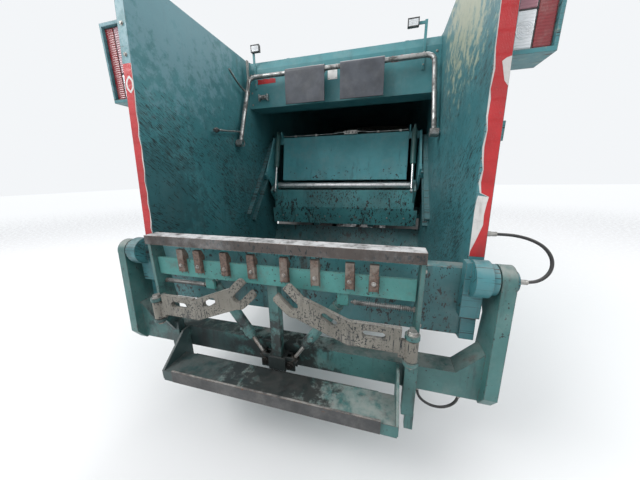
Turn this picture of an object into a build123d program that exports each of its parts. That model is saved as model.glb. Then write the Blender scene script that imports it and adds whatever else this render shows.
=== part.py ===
"""Rear loading refuse truck on a two axle chassis, in millimetres, front towards +Y."""
import os
from math import asin, atan2, cos, degrees, hypot, radians, sin

from build123d import *

os.makedirs("parts", exist_ok=True)

# Driving dimensions of the chassis
TAIL = -4045.0
FRONT_AXLE_Y = 3055.0
REAR_AXLE_Y = -1045.0
WHEEL_R = 538.0
TYRE_W = 315.0
FRONT_TRACK = 2020.0
TWIN_TRACK = 1840.0
TWIN_GAP = 350.0
KINGPIN_X = 870.0
RAIL_OUT = 425.0
RAIL_W = 80.0
RAIL_LOW = 740.0
RAIL_TOP = 1010.0
RAIL_REAR = -1900.0
RAIL_FRONT = 4160.0

# Driving dimensions of the cab
CAB_REAR = 2780.0
CAB_FRONT = 4325.0
CAB_HALF = 1150.0
CAB_FLOOR = 1150.0
CAB_ROOF = 2940.0
CAB_WALL = 60.0
SCREEN_FOOT = 1950.0
PANEL_T = 60.0
PANEL_LOW = 800.0
BUMPER_FRONT = 4405.0
BUMPER_LOW = 380.0
BUMPER_TOP = 740.0
CAB_HINGE = (4290.0, 860.0)

# Driving dimensions of the body
BODY_REAR = -1990.0
BODY_FRONT = 2455.0
BODY_HALF = 1150.0
BODY_FLOOR = 1190.0
BODY_ROOF = 3050.0
BODY_WALL = 50.0
GATE_HINGE = (-2005.0, 3110.0)

# Driving dimensions of the tailgate, its lengths counted from its rear edge
WALL_IN = 1000.0
WALL_T = 70.0
GATE_DEPTH = 2045.0
WALL_TOP = 2940.0
REAR_LEAN = 0.067
LEAN_Z = 1180.0
SILL_Z = 1240.0
BLADE_PIVOT = (1890.0, 1580.0)
GUIDE_ANGLE = 50.0
GUIDE_FOOT = (1150.0, 1050.0)
CARRIAGE_TRAVEL = 600.0
TROUGH_R = 520.0
LIFT_PIVOT = (-60.0, 1215.0)
ARM_IN = 1105.0
ARM_T = 60.0

# Fits and gaps
RUN_FIT = 0.05
GAP = 5.0

SIDES = (("left", -1), ("right", 1))


def side_plane(x, y0=0.0):
    """Upright plane across the vehicle at x, drawn as lengths from y0 and heights."""
    return Plane(origin=(x, y0, 0), x_dir=(0, 1, 0), z_dir=(1, 0, 0))


def cross_plane(y):
    """Upright plane facing the rear at y, drawn as widths and heights."""
    return Plane(origin=(0, y, 0), x_dir=(1, 0, 0), z_dir=(0, -1, 0))


def guide_point(along, off=0.0):
    """Point at a distance along the packer guide and square to it, towards the front."""
    turn = radians(GUIDE_ANGLE)
    return (
        GUIDE_FOOT[0] + along * cos(turn) + off * sin(turn),
        GUIDE_FOOT[1] + along * sin(turn) - off * cos(turn),
    )


# Lowest place of the blade's pivot, the centre of the trough's round bottom
TROUGH_C = (
    BLADE_PIVOT[0] - CARRIAGE_TRAVEL * cos(radians(GUIDE_ANGLE)),
    BLADE_PIVOT[1] - CARRIAGE_TRAVEL * sin(radians(GUIDE_ANGLE)),
)


def trough_tangent(start, radius):
    """Point where a straight run from start meets the round bottom from behind."""
    dy = TROUGH_C[0] - start[0]
    dz = TROUGH_C[1] - start[1]
    reach = hypot(dy, dz)
    run = (reach**2 - radius**2) ** 0.5
    aim = atan2(dz, dy) - asin(radius / reach)
    return (start[0] + run * cos(aim), start[1] + run * sin(aim))


def trough_point(radius, angle):
    """Point on a circle about the trough's centre, angle counted forward from below."""
    turn = radians(angle)
    return (TROUGH_C[0] + radius * sin(turn), TROUGH_C[1] - radius * cos(turn))


# Chassis rails, cross members, towing sockets and cab hinge lugs
# columns: y, middle height, height
CROSS_MEMBERS = (
    (-1850.0, 870.0, 120.0),
    (-300.0, 870.0, 120.0),
    (1200.0, 870.0, 120.0),
    (2350.0, 965.0, 70.0),
)
RAIL_T = 10.0
FRONT_BEAM = (940.0, 90.0, 250.0)
LUG_X = (440.0, 470.0)
TOW_SOCKET_X = 315.0
TOW_SOCKET_Z = 690.0
TOW_SOCKET_Y = 4300.0
TOW_BORE_R = 22.0
with BuildPart() as chassis_frame:
    for side in (-1, 1):
        with BuildSketch(cross_plane(RAIL_REAR)):
            with Locations((side * (RAIL_OUT - RAIL_W / 2), (RAIL_LOW + RAIL_TOP) / 2)):
                Rectangle(RAIL_W, RAIL_TOP - RAIL_LOW)
            with Locations((side * (RAIL_OUT - RAIL_W / 2 - RAIL_T), (RAIL_LOW + RAIL_TOP) / 2)):
                Rectangle(RAIL_W, RAIL_TOP - RAIL_LOW - 2 * RAIL_T, mode=Mode.SUBTRACT)
        extrude(amount=RAIL_REAR - RAIL_FRONT)
    for y, middle, height in CROSS_MEMBERS:
        with Locations((0, y, middle)):
            Box(2 * (RAIL_OUT - RAIL_T / 2), 80, height)
    with Locations((0, RAIL_FRONT, 725)):
        Box(*FRONT_BEAM)
    for side in (-1, 1):
        with BuildSketch(side_plane(side * LUG_X[0])):
            with BuildLine():
                Polyline((4120, 760), (4205, 760), (4290, 832), (4290, 888), (4205, 900), (4120, 850), close=True)
            make_face()
            with Locations(CAB_HINGE):
                Circle(28)
                Circle(20 + RUN_FIT, mode=Mode.SUBTRACT)
        extrude(amount=side * (LUG_X[1] - LUG_X[0]))
        with BuildSketch(cross_plane(TOW_SOCKET_Y)):
            with Locations((side * TOW_SOCKET_X, TOW_SOCKET_Z)):
                Circle(2 * TOW_BORE_R)
                Circle(TOW_BORE_R, mode=Mode.SUBTRACT)
        extrude(amount=TOW_SOCKET_Y - RAIL_FRONT - FRONT_BEAM[1] / 2)
        with Locations((side * 385, 2850, (RAIL_TOP + CAB_FLOOR - GAP) / 2)):
            Box(80, 100, CAB_FLOOR - GAP - RAIL_TOP)
chassis_frame.part.label = "chassis_frame"
export_step(chassis_frame.part, "parts/chassis_frame.step")

# Engine as a plain block, with gearbox and propeller shaft
ENGINE_Y = (2600.0, 3750.0)
ENGINE_Z = (590.0, 1130.0)
SHAFT_START = (0.0, 1750.0, 720.0)
SHAFT_END = (0.0, REAR_AXLE_Y + 300.0, 560.0)
with BuildPart() as powertrain:
    with Locations((0, sum(ENGINE_Y) / 2, sum(ENGINE_Z) / 2)):
        Box(660, ENGINE_Y[1] - ENGINE_Y[0], ENGINE_Z[1] - ENGINE_Z[0])
    with Locations((0, 3175, 770)):
        Box(2 * (RAIL_OUT - RAIL_T), 200, 40)
    with BuildSketch(cross_plane(ENGINE_Y[0])):
        with Locations((0, 720)):
            Circle(210)
    with BuildSketch(cross_plane(1750)):
        with Locations((0, 720)):
            Circle(120)
    loft()
    for x, y, z in (SHAFT_START, SHAFT_END):
        with BuildSketch(cross_plane(y)):
            with Locations((x, z)):
                Circle(50)
    loft()
powertrain.part.label = "powertrain"
export_step(powertrain.part, "parts/powertrain.step")

# Front axle beam with its leaf springs
SPRING_X = 430.0
SPRING_W = 80.0
EYE_Z = (480.0, 595.0)
with BuildPart() as front_axle:
    with BuildSketch(cross_plane(FRONT_AXLE_Y)) as beam_face:
        with BuildLine():
            Polyline(
                (0, 375), (600, 375), (800, EYE_Z[0]), (KINGPIN_X, EYE_Z[0]), (KINGPIN_X, EYE_Z[1]),
                (800, EYE_Z[1]), (620, 480), (0, 480), close=True,
            )
        make_face()
        mirror(about=Plane.YZ)
    extrude(amount=50, both=True)
    for face in (-1, 1):
        with Locations((0, FRONT_AXLE_Y + face * 40, 427.5)):
            Box(1100, 40, 65, mode=Mode.SUBTRACT)
    for side in (-1, 1):
        with Locations((side * KINGPIN_X, FRONT_AXLE_Y, sum(EYE_Z) / 2)):
            Cylinder(50, EYE_Z[1] - EYE_Z[0])
            Cylinder(20 + RUN_FIT, 200, mode=Mode.SUBTRACT)
        with BuildSketch(side_plane(side * SPRING_X, FRONT_AXLE_Y)):
            with BuildLine():
                ThreePointArc((-750, 690), (0, 480), (750, 690))
                Line((750, 690), (750, 730))
                ThreePointArc((750, 730), (0, 530), (-750, 730))
                Line((-750, 730), (-750, 690))
            make_face()
        extrude(amount=SPRING_W / 2, both=True)
        with Locations((side * SPRING_X, FRONT_AXLE_Y, 500)):
            Box(100, 130, 70)
        for end in (-1, 1):
            with Locations((side * SPRING_X, FRONT_AXLE_Y + end * 735, 705)):
                Box(SPRING_W, 90, 70)
front_axle.part.label = "front_axle"
export_step(front_axle.part, "parts/front_axle.step")

# Rear axle housing with its differential, spindles and leaf springs
REAR_SPINDLE_R = 55.0
with BuildPart() as rear_axle:
    with Locations(Location((0, REAR_AXLE_Y, WHEEL_R), (0, 90, 0))):
        Cylinder(80, 1300)
        Cylinder(REAR_SPINDLE_R - RUN_FIT, 2 * (TWIN_TRACK / 2 + 90))
    with Locations((0, REAR_AXLE_Y, WHEEL_R)):
        Sphere(205)
    with Locations(Location((0, REAR_AXLE_Y + 210, 560), (-90, 0, 0))):
        Cone(120, 70, 180)
    for side in (-1, 1):
        with BuildSketch(side_plane(side * SPRING_X, REAR_AXLE_Y)):
            with BuildLine():
                ThreePointArc((-800, 680), (0, 600), (800, 680))
                Line((800, 680), (800, 730))
                ThreePointArc((800, 730), (0, 690), (-800, 730))
                Line((-800, 730), (-800, 680))
            make_face()
        extrude(amount=SPRING_W / 2, both=True)
        for end in (-1, 1):
            with Locations((side * SPRING_X, REAR_AXLE_Y + end * 770, 700)):
                Box(SPRING_W, 90, 80)
rear_axle.part.label = "rear_axle"
export_step(rear_axle.part, "parts/rear_axle.step")

# Steering knuckles, each a fork on the beam's eye with kingpin and spindle
SPINDLE_R = 45.0
for side_name, side in SIDES:
    with BuildPart() as knuckle:
        for low, high in ((435, EYE_Z[0] - GAP), (EYE_Z[1] + GAP, 640)):
            with BuildSketch(Plane.XY.offset(low)):
                with Locations((side * KINGPIN_X, FRONT_AXLE_Y)):
                    Circle(48)
                with Locations((side * 905, FRONT_AXLE_Y)):
                    Rectangle(70, 90)
            extrude(amount=high - low)
        with Locations((side * KINGPIN_X, FRONT_AXLE_Y, WHEEL_R)):
            Cylinder(20, 200)
        with Locations((side * 940, FRONT_AXLE_Y, WHEEL_R)):
            Box(30, 120, 205)
        with Locations(Location((side * 1035, FRONT_AXLE_Y, WHEEL_R), (0, 90, 0))):
            Cylinder(SPINDLE_R - RUN_FIT, 170)
    knuckle.part.label = f"knuckle_{side_name}"
    export_step(knuckle.part, f"parts/knuckle_{side_name}.step")

# Tyres, one body of revolution each, the rear ones in twos
BEAD_R = 284.3
FLANGE_R = 305.0
BEAD_HALF = 106.0


def tyre_outline():
    """Return the closed tyre section, widths along X and radii along Y."""
    with BuildSketch() as outline:
        with BuildLine():
            Polyline((-BEAD_HALF, FLANGE_R), (-BEAD_HALF, BEAD_R), (BEAD_HALF, BEAD_R), (BEAD_HALF, FLANGE_R))
            ThreePointArc((BEAD_HALF, FLANGE_R), (TYRE_W / 2, 410), (146, 505))
            Polyline((146, 505), (128, WHEEL_R), (-128, WHEEL_R), (-146, 505))
            ThreePointArc((-146, 505), (-TYRE_W / 2, 410), (-BEAD_HALF, FLANGE_R))
        make_face()
    return outline.sketch_local


def wheel_plane(x, y, side=1):
    """Plane through a wheel's axis, X outwards on the given side and Y across it."""
    return Plane(origin=(x, y, WHEEL_R), x_dir=(side, 0, 0), z_dir=(0, 0, side))


for side_name, side in SIDES:
    with BuildPart() as front_tyre:
        wheel_x = side * FRONT_TRACK / 2
        with BuildSketch(wheel_plane(wheel_x, FRONT_AXLE_Y)):
            add(tyre_outline())
        revolve(axis=Axis((wheel_x, FRONT_AXLE_Y, WHEEL_R), (1, 0, 0)))
    front_tyre.part.label = f"front_tyre_{side_name}"
    export_step(front_tyre.part, f"parts/front_tyre_{side_name}.step")

    with BuildPart() as rear_tyres:
        for twin in (-1, 1):
            wheel_x = side * TWIN_TRACK / 2 + twin * TWIN_GAP / 2
            with BuildSketch(wheel_plane(wheel_x, REAR_AXLE_Y)):
                add(tyre_outline())
            revolve(axis=Axis((wheel_x, REAR_AXLE_Y, WHEEL_R), (1, 0, 0)))
    rear_tyres.part.label = f"rear_tyres_{side_name}"
    export_step(rear_tyres.part, f"parts/rear_tyres_{side_name}.step")

# Wheel rims with discs, hand holes and hubs
RIM_R = 284.0
RIM_IN = 270.0
RIM_HALF = 118.0


def rim_barrel(shift):
    """Return one rim barrel with its two flanges, shifted along the axle."""
    with BuildSketch() as outline:
        with BuildLine():
            Polyline(
                (shift - RIM_HALF, RIM_IN), (shift - RIM_HALF, FLANGE_R), (shift - BEAD_HALF, FLANGE_R),
                (shift - BEAD_HALF, RIM_R), (shift + BEAD_HALF, RIM_R), (shift + BEAD_HALF, FLANGE_R),
                (shift + RIM_HALF, FLANGE_R), (shift + RIM_HALF, RIM_IN), close=True,
            )
        make_face()
    return outline.sketch_local


HAND_HOLES = 8
for side_name, side in SIDES:
    with BuildPart() as front_rim:
        wheel_x = side * FRONT_TRACK / 2
        with BuildSketch(wheel_plane(wheel_x, FRONT_AXLE_Y, side)):
            add(rim_barrel(0))
            with BuildLine():
                Polyline(
                    (20, RIM_IN + 2), (92, 175), (92, 90), (104, 90), (104, 182), (40, RIM_IN + 2), close=True,
                )
            make_face()
            with BuildLine():
                Polyline(
                    (-40, SPINDLE_R), (-40, 105), (112, 105), (130, 70), (130, 0), (112, 0),
                    (112, SPINDLE_R), close=True,
                )
            make_face()
        revolve(axis=Axis((wheel_x, FRONT_AXLE_Y, WHEEL_R), (1, 0, 0)))
        with BuildSketch(side_plane(wheel_x, FRONT_AXLE_Y)):
            with Locations((0, WHEEL_R)):
                with PolarLocations(222, HAND_HOLES):
                    Circle(28)
        extrude(amount=side * 150, mode=Mode.SUBTRACT)
    front_rim.part.label = f"front_rim_{side_name}"
    export_step(front_rim.part, f"parts/front_rim_{side_name}.step")

    with BuildPart() as rear_rims:
        wheel_x = side * TWIN_TRACK / 2
        with BuildSketch(wheel_plane(wheel_x, REAR_AXLE_Y, side)):
            for twin in (-1, 1):
                add(rim_barrel(twin * TWIN_GAP / 2))
                inner_edge = twin * (TWIN_GAP / 2 - RIM_HALF)
                with BuildLine():
                    Polyline(
                        (0, 100), (0, 222), (inner_edge, RIM_IN + 2), (inner_edge + twin * 22, RIM_IN + 2),
                        (twin * 14, 212), (twin * 14, 100), close=True,
                    )
                make_face()
            with BuildLine():
                Polyline(
                    (-60, REAR_SPINDLE_R), (-60, 130), (150, 130), (165, 100), (165, 0), (120, 0),
                    (120, REAR_SPINDLE_R), close=True,
                )
            make_face()
        revolve(axis=Axis((wheel_x, REAR_AXLE_Y, WHEEL_R), (1, 0, 0)))
        with BuildSketch(side_plane(wheel_x, REAR_AXLE_Y)):
            with Locations((0, WHEEL_R)):
                with PolarLocations(200, HAND_HOLES):
                    Circle(25)
        extrude(amount=60, both=True, mode=Mode.SUBTRACT)
    rear_rims.part.label = f"rear_rims_{side_name}"
    export_step(rear_rims.part, f"parts/rear_rims_{side_name}.step")

# Fuel tank on the right and battery box with air tanks on the left
TANK_X = (500.0, 1080.0)
with BuildPart() as fuel_tank:
    with BuildSketch(cross_plane(700)):
        with Locations((sum(TANK_X) / 2, 720)):
            RectangleRounded(TANK_X[1] - TANK_X[0], 520, 90)
    extrude(amount=-1200)
    for y in (900, 1700):
        with Locations((465, y, 860)):
            Box(80, 60, 200)
fuel_tank.part.label = "fuel_tank"
export_step(fuel_tank.part, "parts/fuel_tank.step")

with BuildPart() as battery_box:
    with Locations((-790, 400, 760)):
        Box(580, 600, 420)
    with BuildSketch(cross_plane(800)):
        for z in (620, 880):
            with Locations((-790, z)):
                Circle(115)
    extrude(amount=-700)
    for y in (400, 1150):
        with Locations((-607.5, y, 800)):
            Box(365, 60, 160)
battery_box.part.label = "battery_box"
export_step(battery_box.part, "parts/battery_box.step")

with BuildPart() as silencer:
    with BuildSketch(cross_plane(1620)):
        with Locations((-800, 740)):
            RectangleRounded(480, 420, 120)
    extrude(amount=-700)
    with Locations((-500, 1950, 800)):
        Box(150, 60, 120)
silencer.part.label = "silencer"
export_step(silencer.part, "parts/silencer.step")

# Side guards and rear mudguards
GUARD_Y = (-250.0, 2320.0)
ARCH_R = 600.0
with BuildPart() as side_guards:
    for side in (-1, 1):
        for z in (500, 720):
            with Locations((side * 1190, sum(GUARD_Y) / 2, z)):
                Box(30, GUARD_Y[1] - GUARD_Y[0], 100)
        for y in (-100, 1000, 2200):
            with Locations((side * 1162.5, y, 800)):
                Box(25, 60, 700)
            with Locations((side * 1115, y, 1135)):
                Box(120, 60, 30)
side_guards.part.label = "side_guards"
export_step(side_guards.part, "parts/side_guards.step")

with BuildPart() as mudguards:
    for side in (-1, 1):
        with BuildSketch(side_plane(side * 590, REAR_AXLE_Y)):
            with Locations((0, WHEEL_R)):
                Circle(ARCH_R + 8)
                Circle(ARCH_R, mode=Mode.SUBTRACT)
            with Locations((0, WHEEL_R + 250 - 1000)):
                Rectangle(1400, 2000, mode=Mode.SUBTRACT)
        extrude(amount=side * 620)
        for end in (-1, 1):
            with Locations((side * 512.5, REAR_AXLE_Y + end * 500, 870)):
                Box(175, 40, 40)
mudguards.part.label = "mudguards"
export_step(mudguards.part, "parts/mudguards.step")

# Front bumper with step boxes, and the headlamps seated in it
BUMPER_HALF = 1225.0
BUMPER_IN = 200.0
LAMP_X = 950.0
LAMP_Z = 590.0
with BuildPart() as front_bumper:
    with BuildSketch(Plane.XY.offset(BUMPER_LOW)):
        with Locations((0, (BUMPER_FRONT + 3740) / 2)):
            Rectangle(2 * BUMPER_HALF, BUMPER_FRONT - 3740)
        with Locations((0, (BUMPER_FRONT - BUMPER_IN + 3600) / 2)):
            Rectangle(1900, BUMPER_FRONT - BUMPER_IN - 3600, mode=Mode.SUBTRACT)
    extrude(amount=BUMPER_TOP - BUMPER_LOW)
    front_corners = front_bumper.edges().filter_by(Axis.Z).group_by(Axis.Y)[-1]
    fillet(front_corners, 150)
    for side in (-1, 1):
        with Locations((side * LAMP_X, BUMPER_FRONT, LAMP_Z)):
            Box(360, 160, 170, mode=Mode.SUBTRACT)
        for z in (460, 640):
            with Locations((side * BUMPER_HALF, 3950, z)):
                Box(300, 320, 120, mode=Mode.SUBTRACT)
        with Locations((side * TOW_SOCKET_X, TOW_SOCKET_Y, 685)):
            Box(150, 300, 120, mode=Mode.SUBTRACT)
front_bumper.part.label = "front_bumper"
export_step(front_bumper.part, "parts/front_bumper.step")

with BuildPart() as headlamps:
    for side in (-1, 1):
        with Locations((side * LAMP_X, BUMPER_FRONT - 45, LAMP_Z)):
            Box(360, 70, 170)
headlamps.part.label = "headlamps"
export_step(headlamps.part, "parts/headlamps.step")

# Body floor with its two bearers on the chassis rails
with BuildPart() as body_floor:
    with Locations((0, (BODY_REAR + BODY_FRONT) / 2, BODY_FLOOR - 20)):
        Box(2 * (BODY_HALF - 30), BODY_FRONT - BODY_REAR, 40)
    for side in (-1, 1):
        with Locations((side * (RAIL_OUT - 40), (BODY_REAR + BODY_FRONT) / 2, (RAIL_TOP + BODY_FLOOR - 40) / 2)):
            Box(80, BODY_FRONT - BODY_REAR, BODY_FLOOR - 40 - RAIL_TOP)
body_floor.part.label = "body_floor"
export_step(body_floor.part, "parts/body_floor.step")


def body_section(inset):
    """Return the body's outline, its bowed sides and roof moved inwards by the inset."""
    foot = BODY_HALF - 30 - inset
    bulge = BODY_HALF - inset
    eave = BODY_ROOF - 130 - inset
    with BuildSketch() as outline:
        with BuildLine():
            Line((-foot, BODY_FLOOR), (foot, BODY_FLOOR))
            ThreePointArc((foot, BODY_FLOOR), (bulge, 2000), (foot - 10, eave - 60))
            ThreePointArc((foot - 10, eave - 60), (foot - 50, eave + 40), (foot - 150, eave + 90))
            ThreePointArc((foot - 150, eave + 90), (0, BODY_ROOF - inset), (150 - foot, eave + 90))
            ThreePointArc((150 - foot, eave + 90), (50 - foot, eave + 40), (10 - foot, eave - 60))
            ThreePointArc((10 - foot, eave - 60), (-bulge, 2000), (-foot, BODY_FLOOR))
        make_face()
    return outline.sketch_local


# Body shell, one bowed skin for sides and roof, with the tailgate's hinge lugs
GATE_RAM_X = 1200.0
GATE_RAM_FOOT = (-1790.0, 1610.0)
HINGE_X = (690.0, 730.0)
with BuildPart() as body_shell:
    with BuildSketch(cross_plane(BODY_REAR)) as shell_face:
        add(body_section(0))
        add(body_section(BODY_WALL), mode=Mode.SUBTRACT)
    extrude(amount=BODY_REAR - BODY_FRONT)
    for side in (-1, 1):
        with BuildSketch(side_plane(side * HINGE_X[0])):
            with BuildLine():
                Polyline(
                    (-1990, 2990), (-1990, 3040), (-2030, 3080), (-2030, 3140), (-1960, 3140), (-1860, 3030),
                    (-1860, 2990), close=True,
                )
            make_face()
        extrude(amount=side * (HINGE_X[1] - HINGE_X[0]))
        with Locations(Location((side * 735, GATE_HINGE[0], GATE_HINGE[1]), (0, 90, 0))):
            Cylinder(20, 90)
        with Locations(Location((side * 1185, GATE_RAM_FOOT[0], GATE_RAM_FOOT[1]), (0, 90, 0))):
            Cylinder(22, 110)
body_shell.part.label = "body_shell"
export_step(body_shell.part, "parts/body_shell.step")

with BuildPart() as body_front_wall:
    with BuildSketch(cross_plane(BODY_FRONT)):
        add(body_section(BODY_WALL))
    extrude(amount=40)
body_front_wall.part.label = "body_front_wall"
export_step(body_front_wall.part, "parts/body_front_wall.step")

# Ejector plate inside the body
with BuildPart() as ejector_plate:
    with BuildSketch(cross_plane(2005)):
        add(body_section(BODY_WALL + 15))
        with Locations((0, BODY_FLOOR)):
            Rectangle(3000, 30, mode=Mode.SUBTRACT)
    extrude(amount=60)
    for side in (-1, 1):
        with BuildSketch(side_plane(side * 500)):
            with BuildLine():
                Polyline((2005, 1210), (2390, 1210), (2390, 1350), (2005, 2600), close=True)
            make_face()
        extrude(amount=side * 60)
ejector_plate.part.label = "ejector_plate"
export_step(ejector_plate.part, "parts/ejector_plate.step")

# Cab floor, from the back wall to the bulkhead
CAB_IN = CAB_HALF - CAB_WALL
with BuildPart() as cab_floor:
    with Locations((0, (CAB_REAR + CAB_FRONT) / 2, CAB_FLOOR + 20)):
        Box(2 * CAB_IN, CAB_FRONT - CAB_REAR - 2 * CAB_WALL, 40)
cab_floor.part.label = "cab_floor"
export_step(cab_floor.part, "parts/cab_floor.step")


def cab_side():
    """Return the cab's side outline, back wall, roof, sloping screen and bulkhead."""
    with BuildSketch() as outline:
        with BuildLine():
            Polyline(
                (CAB_REAR, CAB_FLOOR), (CAB_REAR, CAB_ROOF), (4080, CAB_ROOF), (4150, 2890),
                (CAB_FRONT, SCREEN_FOOT), (CAB_FRONT, CAB_FLOOR), close=True,
            )
        make_face()
    return outline.sketch_local


# Cab shell, hollow, with its doors, screen and rear window cut
DOOR_Y = (3000.0, 4045.0)
DOOR_Z = (1190.0, 2800.0)
DOOR_T = 50.0
WINDOW_Y = (3080.0, 3960.0)
WINDOW_Z = (1980.0, 2680.0)
SCREEN_HALF = 1000.0
SCREEN_TILT = degrees(atan2(CAB_FRONT - 4150, 2890 - SCREEN_FOOT))
SCREEN_MID = ((CAB_FRONT + 4150) / 2, (SCREEN_FOOT + 2890) / 2)
SCREEN_H = 800.0
with BuildPart() as cab_shell:
    with BuildSketch(side_plane(0)):
        add(cab_side())
    extrude(amount=CAB_HALF, both=True)
    fillet(cab_shell.edges().filter_by(Axis.X).group_by(Axis.Z)[-1], 60)
    with BuildSketch(side_plane(0)):
        add(cab_side())
        offset(amount=-CAB_WALL, kind=Kind.INTERSECTION, mode=Mode.REPLACE)
    extrude(amount=CAB_IN, both=True, mode=Mode.SUBTRACT)
    with Locations((0, (CAB_REAR + CAB_FRONT) / 2, CAB_FLOOR + 20)):
        Box(2 * CAB_IN, CAB_FRONT - CAB_REAR - 2 * CAB_WALL, 100, mode=Mode.SUBTRACT)
    with BuildSketch(side_plane(0)):
        with Locations(((DOOR_Y[0] + DOOR_Y[1]) / 2, (DOOR_Z[0] + DOOR_Z[1]) / 2)):
            RectangleRounded(DOOR_Y[1] - DOOR_Y[0] + 2 * GAP, DOOR_Z[1] - DOOR_Z[0] + 2 * GAP, 60)
    extrude(amount=CAB_HALF + 50, both=True, mode=Mode.SUBTRACT)
    screen_plane = Plane(origin=(0, SCREEN_MID[0], SCREEN_MID[1]), x_dir=(1, 0, 0),
                         z_dir=(0, -cos(radians(SCREEN_TILT)), -sin(radians(SCREEN_TILT))))
    with BuildSketch(screen_plane):
        RectangleRounded(2 * SCREEN_HALF, SCREEN_H, 60)
    extrude(amount=150, both=True, mode=Mode.SUBTRACT)
    with BuildSketch(cross_plane(CAB_REAR)):
        with Locations((0, 2300)):
            RectangleRounded(900, 420, 60)
    extrude(amount=100, both=True, mode=Mode.SUBTRACT)
    for side in (-1, 1):
        with BuildSketch(side_plane(side * (LUG_X[1] + GAP))):
            with BuildLine():
                Polyline((CAB_FRONT - CAB_WALL, CAB_FLOOR + 60), (CAB_FRONT - CAB_WALL, 860), (4280, 830),
                         (4310, 830), (CAB_FRONT, 860), (CAB_FRONT, CAB_FLOOR + 60), close=True)
            make_face()
        extrude(amount=side * 30)
        with Locations(Location((side * (LUG_X[0] + 30), CAB_HINGE[0], CAB_HINGE[1]), (0, 90, 0))):
            Cylinder(20, 60)
cab_shell.part.label = "cab_shell"
export_step(cab_shell.part, "parts/cab_shell.step")

with BuildPart() as windscreen:
    with BuildSketch(screen_plane.offset(20)):
        RectangleRounded(2 * SCREEN_HALF, SCREEN_H, 60)
    extrude(amount=8)
windscreen.part.label = "windscreen"
export_step(windscreen.part, "parts/windscreen.step")

# Front panel with its grille bars
GRILLE_Z = (1020.0, 1130.0, 1240.0, 1350.0)
with BuildPart() as cab_front_panel:
    with BuildSketch(Plane.XY.offset(PANEL_LOW)):
        with Locations((0, CAB_FRONT + PANEL_T / 2)):
            Rectangle(2 * CAB_HALF, PANEL_T)
    extrude(amount=SCREEN_FOOT - 30 - PANEL_LOW)
    fillet(cab_front_panel.edges().filter_by(Axis.Z).group_by(Axis.Y)[-1], 55)
    for z in GRILLE_Z:
        with BuildSketch(cross_plane(BUMPER_FRONT)):
            with Locations((0, z)):
                RectangleRounded(1500, 66, 25)
        extrude(amount=60, mode=Mode.SUBTRACT)
cab_front_panel.part.label = "cab_front_panel"
export_step(cab_front_panel.part, "parts/cab_front_panel.step")

# Dashboard with steering column and wheel
STEER_X = -520.0
with BuildPart() as dashboard:
    with BuildSketch(side_plane(0)):
        with BuildLine():
            Polyline((CAB_FRONT - CAB_WALL, 1500), (4080, 1500), (3960, 1640), (3980, 1780),
                     (4120, 1850), (CAB_FRONT - CAB_WALL, 1850), close=True)
        make_face()
    extrude(amount=CAB_IN, both=True)
    column = Plane(origin=(STEER_X, 4040, 1600), z_dir=(0, -0.5, 0.6))
    with BuildSketch(column):
        Circle(35)
    extrude(amount=250)
    with BuildSketch(column.offset(240)):
        Circle(225)
        Circle(195, mode=Mode.SUBTRACT)
        Rectangle(400, 40)
        Circle(70)
    extrude(amount=26)
dashboard.part.label = "dashboard"
export_step(dashboard.part, "parts/dashboard.step")

# Seats as plain cushions on pedestals, middle, width
SEATS = ((-520.0, 520.0), (380.0, 1000.0))
with BuildPart() as seats:
    for middle, width in SEATS:
        with Locations((middle, 3300, 1390)):
            Box(width - 120, 380, 400)
        with Locations((middle, 3320, 1660)):
            Box(width, 520, 140)
        with Locations((middle, 3060, 2010)):
            Box(width, 120, 840)
seats.part.label = "seats"
export_step(seats.part, "parts/seats.step")

# Mirrors on their arms
with BuildPart() as mirrors:
    for side in (-1, 1):
        with Locations((side * 1270, 4180, 2330)):
            Box(160, 80, 420)
        for z in (2180, 2480):
            with Locations((side * 1190, 4180, z)):
                Box(50, 30, 30)
        with Locations((side * 1158, 4180, 2330)):
            Box(16, 60, 400)
mirrors.part.label = "mirrors"
export_step(mirrors.part, "parts/mirrors.step")

# Doors as thick as the cab's wall, and their window glass
for side_name, side in SIDES:
    with BuildPart() as door:
        with BuildSketch(side_plane(side * CAB_HALF)):
            with Locations(((DOOR_Y[0] + DOOR_Y[1]) / 2, (DOOR_Z[0] + DOOR_Z[1]) / 2)):
                RectangleRounded(DOOR_Y[1] - DOOR_Y[0], DOOR_Z[1] - DOOR_Z[0], 55)
            with Locations((sum(WINDOW_Y) / 2, sum(WINDOW_Z) / 2)):
                RectangleRounded(WINDOW_Y[1] - WINDOW_Y[0], WINDOW_Z[1] - WINDOW_Z[0], 60, mode=Mode.SUBTRACT)
        extrude(amount=-side * DOOR_T)
    door.part.label = f"door_{side_name}"
    export_step(door.part, f"parts/door_{side_name}.step")

    with BuildPart() as door_glass:
        with BuildSketch(side_plane(side * (CAB_HALF - 22))):
            with Locations((sum(WINDOW_Y) / 2, sum(WINDOW_Z) / 2)):
                RectangleRounded(WINDOW_Y[1] - WINDOW_Y[0], WINDOW_Z[1] - WINDOW_Z[0], 60)
        extrude(amount=-side * 6)
    door_glass.part.label = f"door_glass_{side_name}"
    export_step(door_glass.part, f"parts/door_glass_{side_name}.step")

# Tailgate walls with guide rails, leg boxes, lifter pivots and lamp housings
RAIL_GAP = 100.0
RAIL_SPAN = (230.0, 1370.0)
LAMP_BOX_X = (WALL_IN + WALL_T, 1250.0)
LAMP_BOX_Z = (2200.0, 2660.0)
LAMP_BOX_Y = (60.0, 240.0)
PIN_R = 40.0
LIFT_RAM_X = 1200.0
LIFT_RAM_FOOT = (740.0, 1065.0)
GATE_RAM_EYE = (-2375.0, 2610.0)
STOP_PIVOT = (1150.0, 2050.0)


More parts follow.
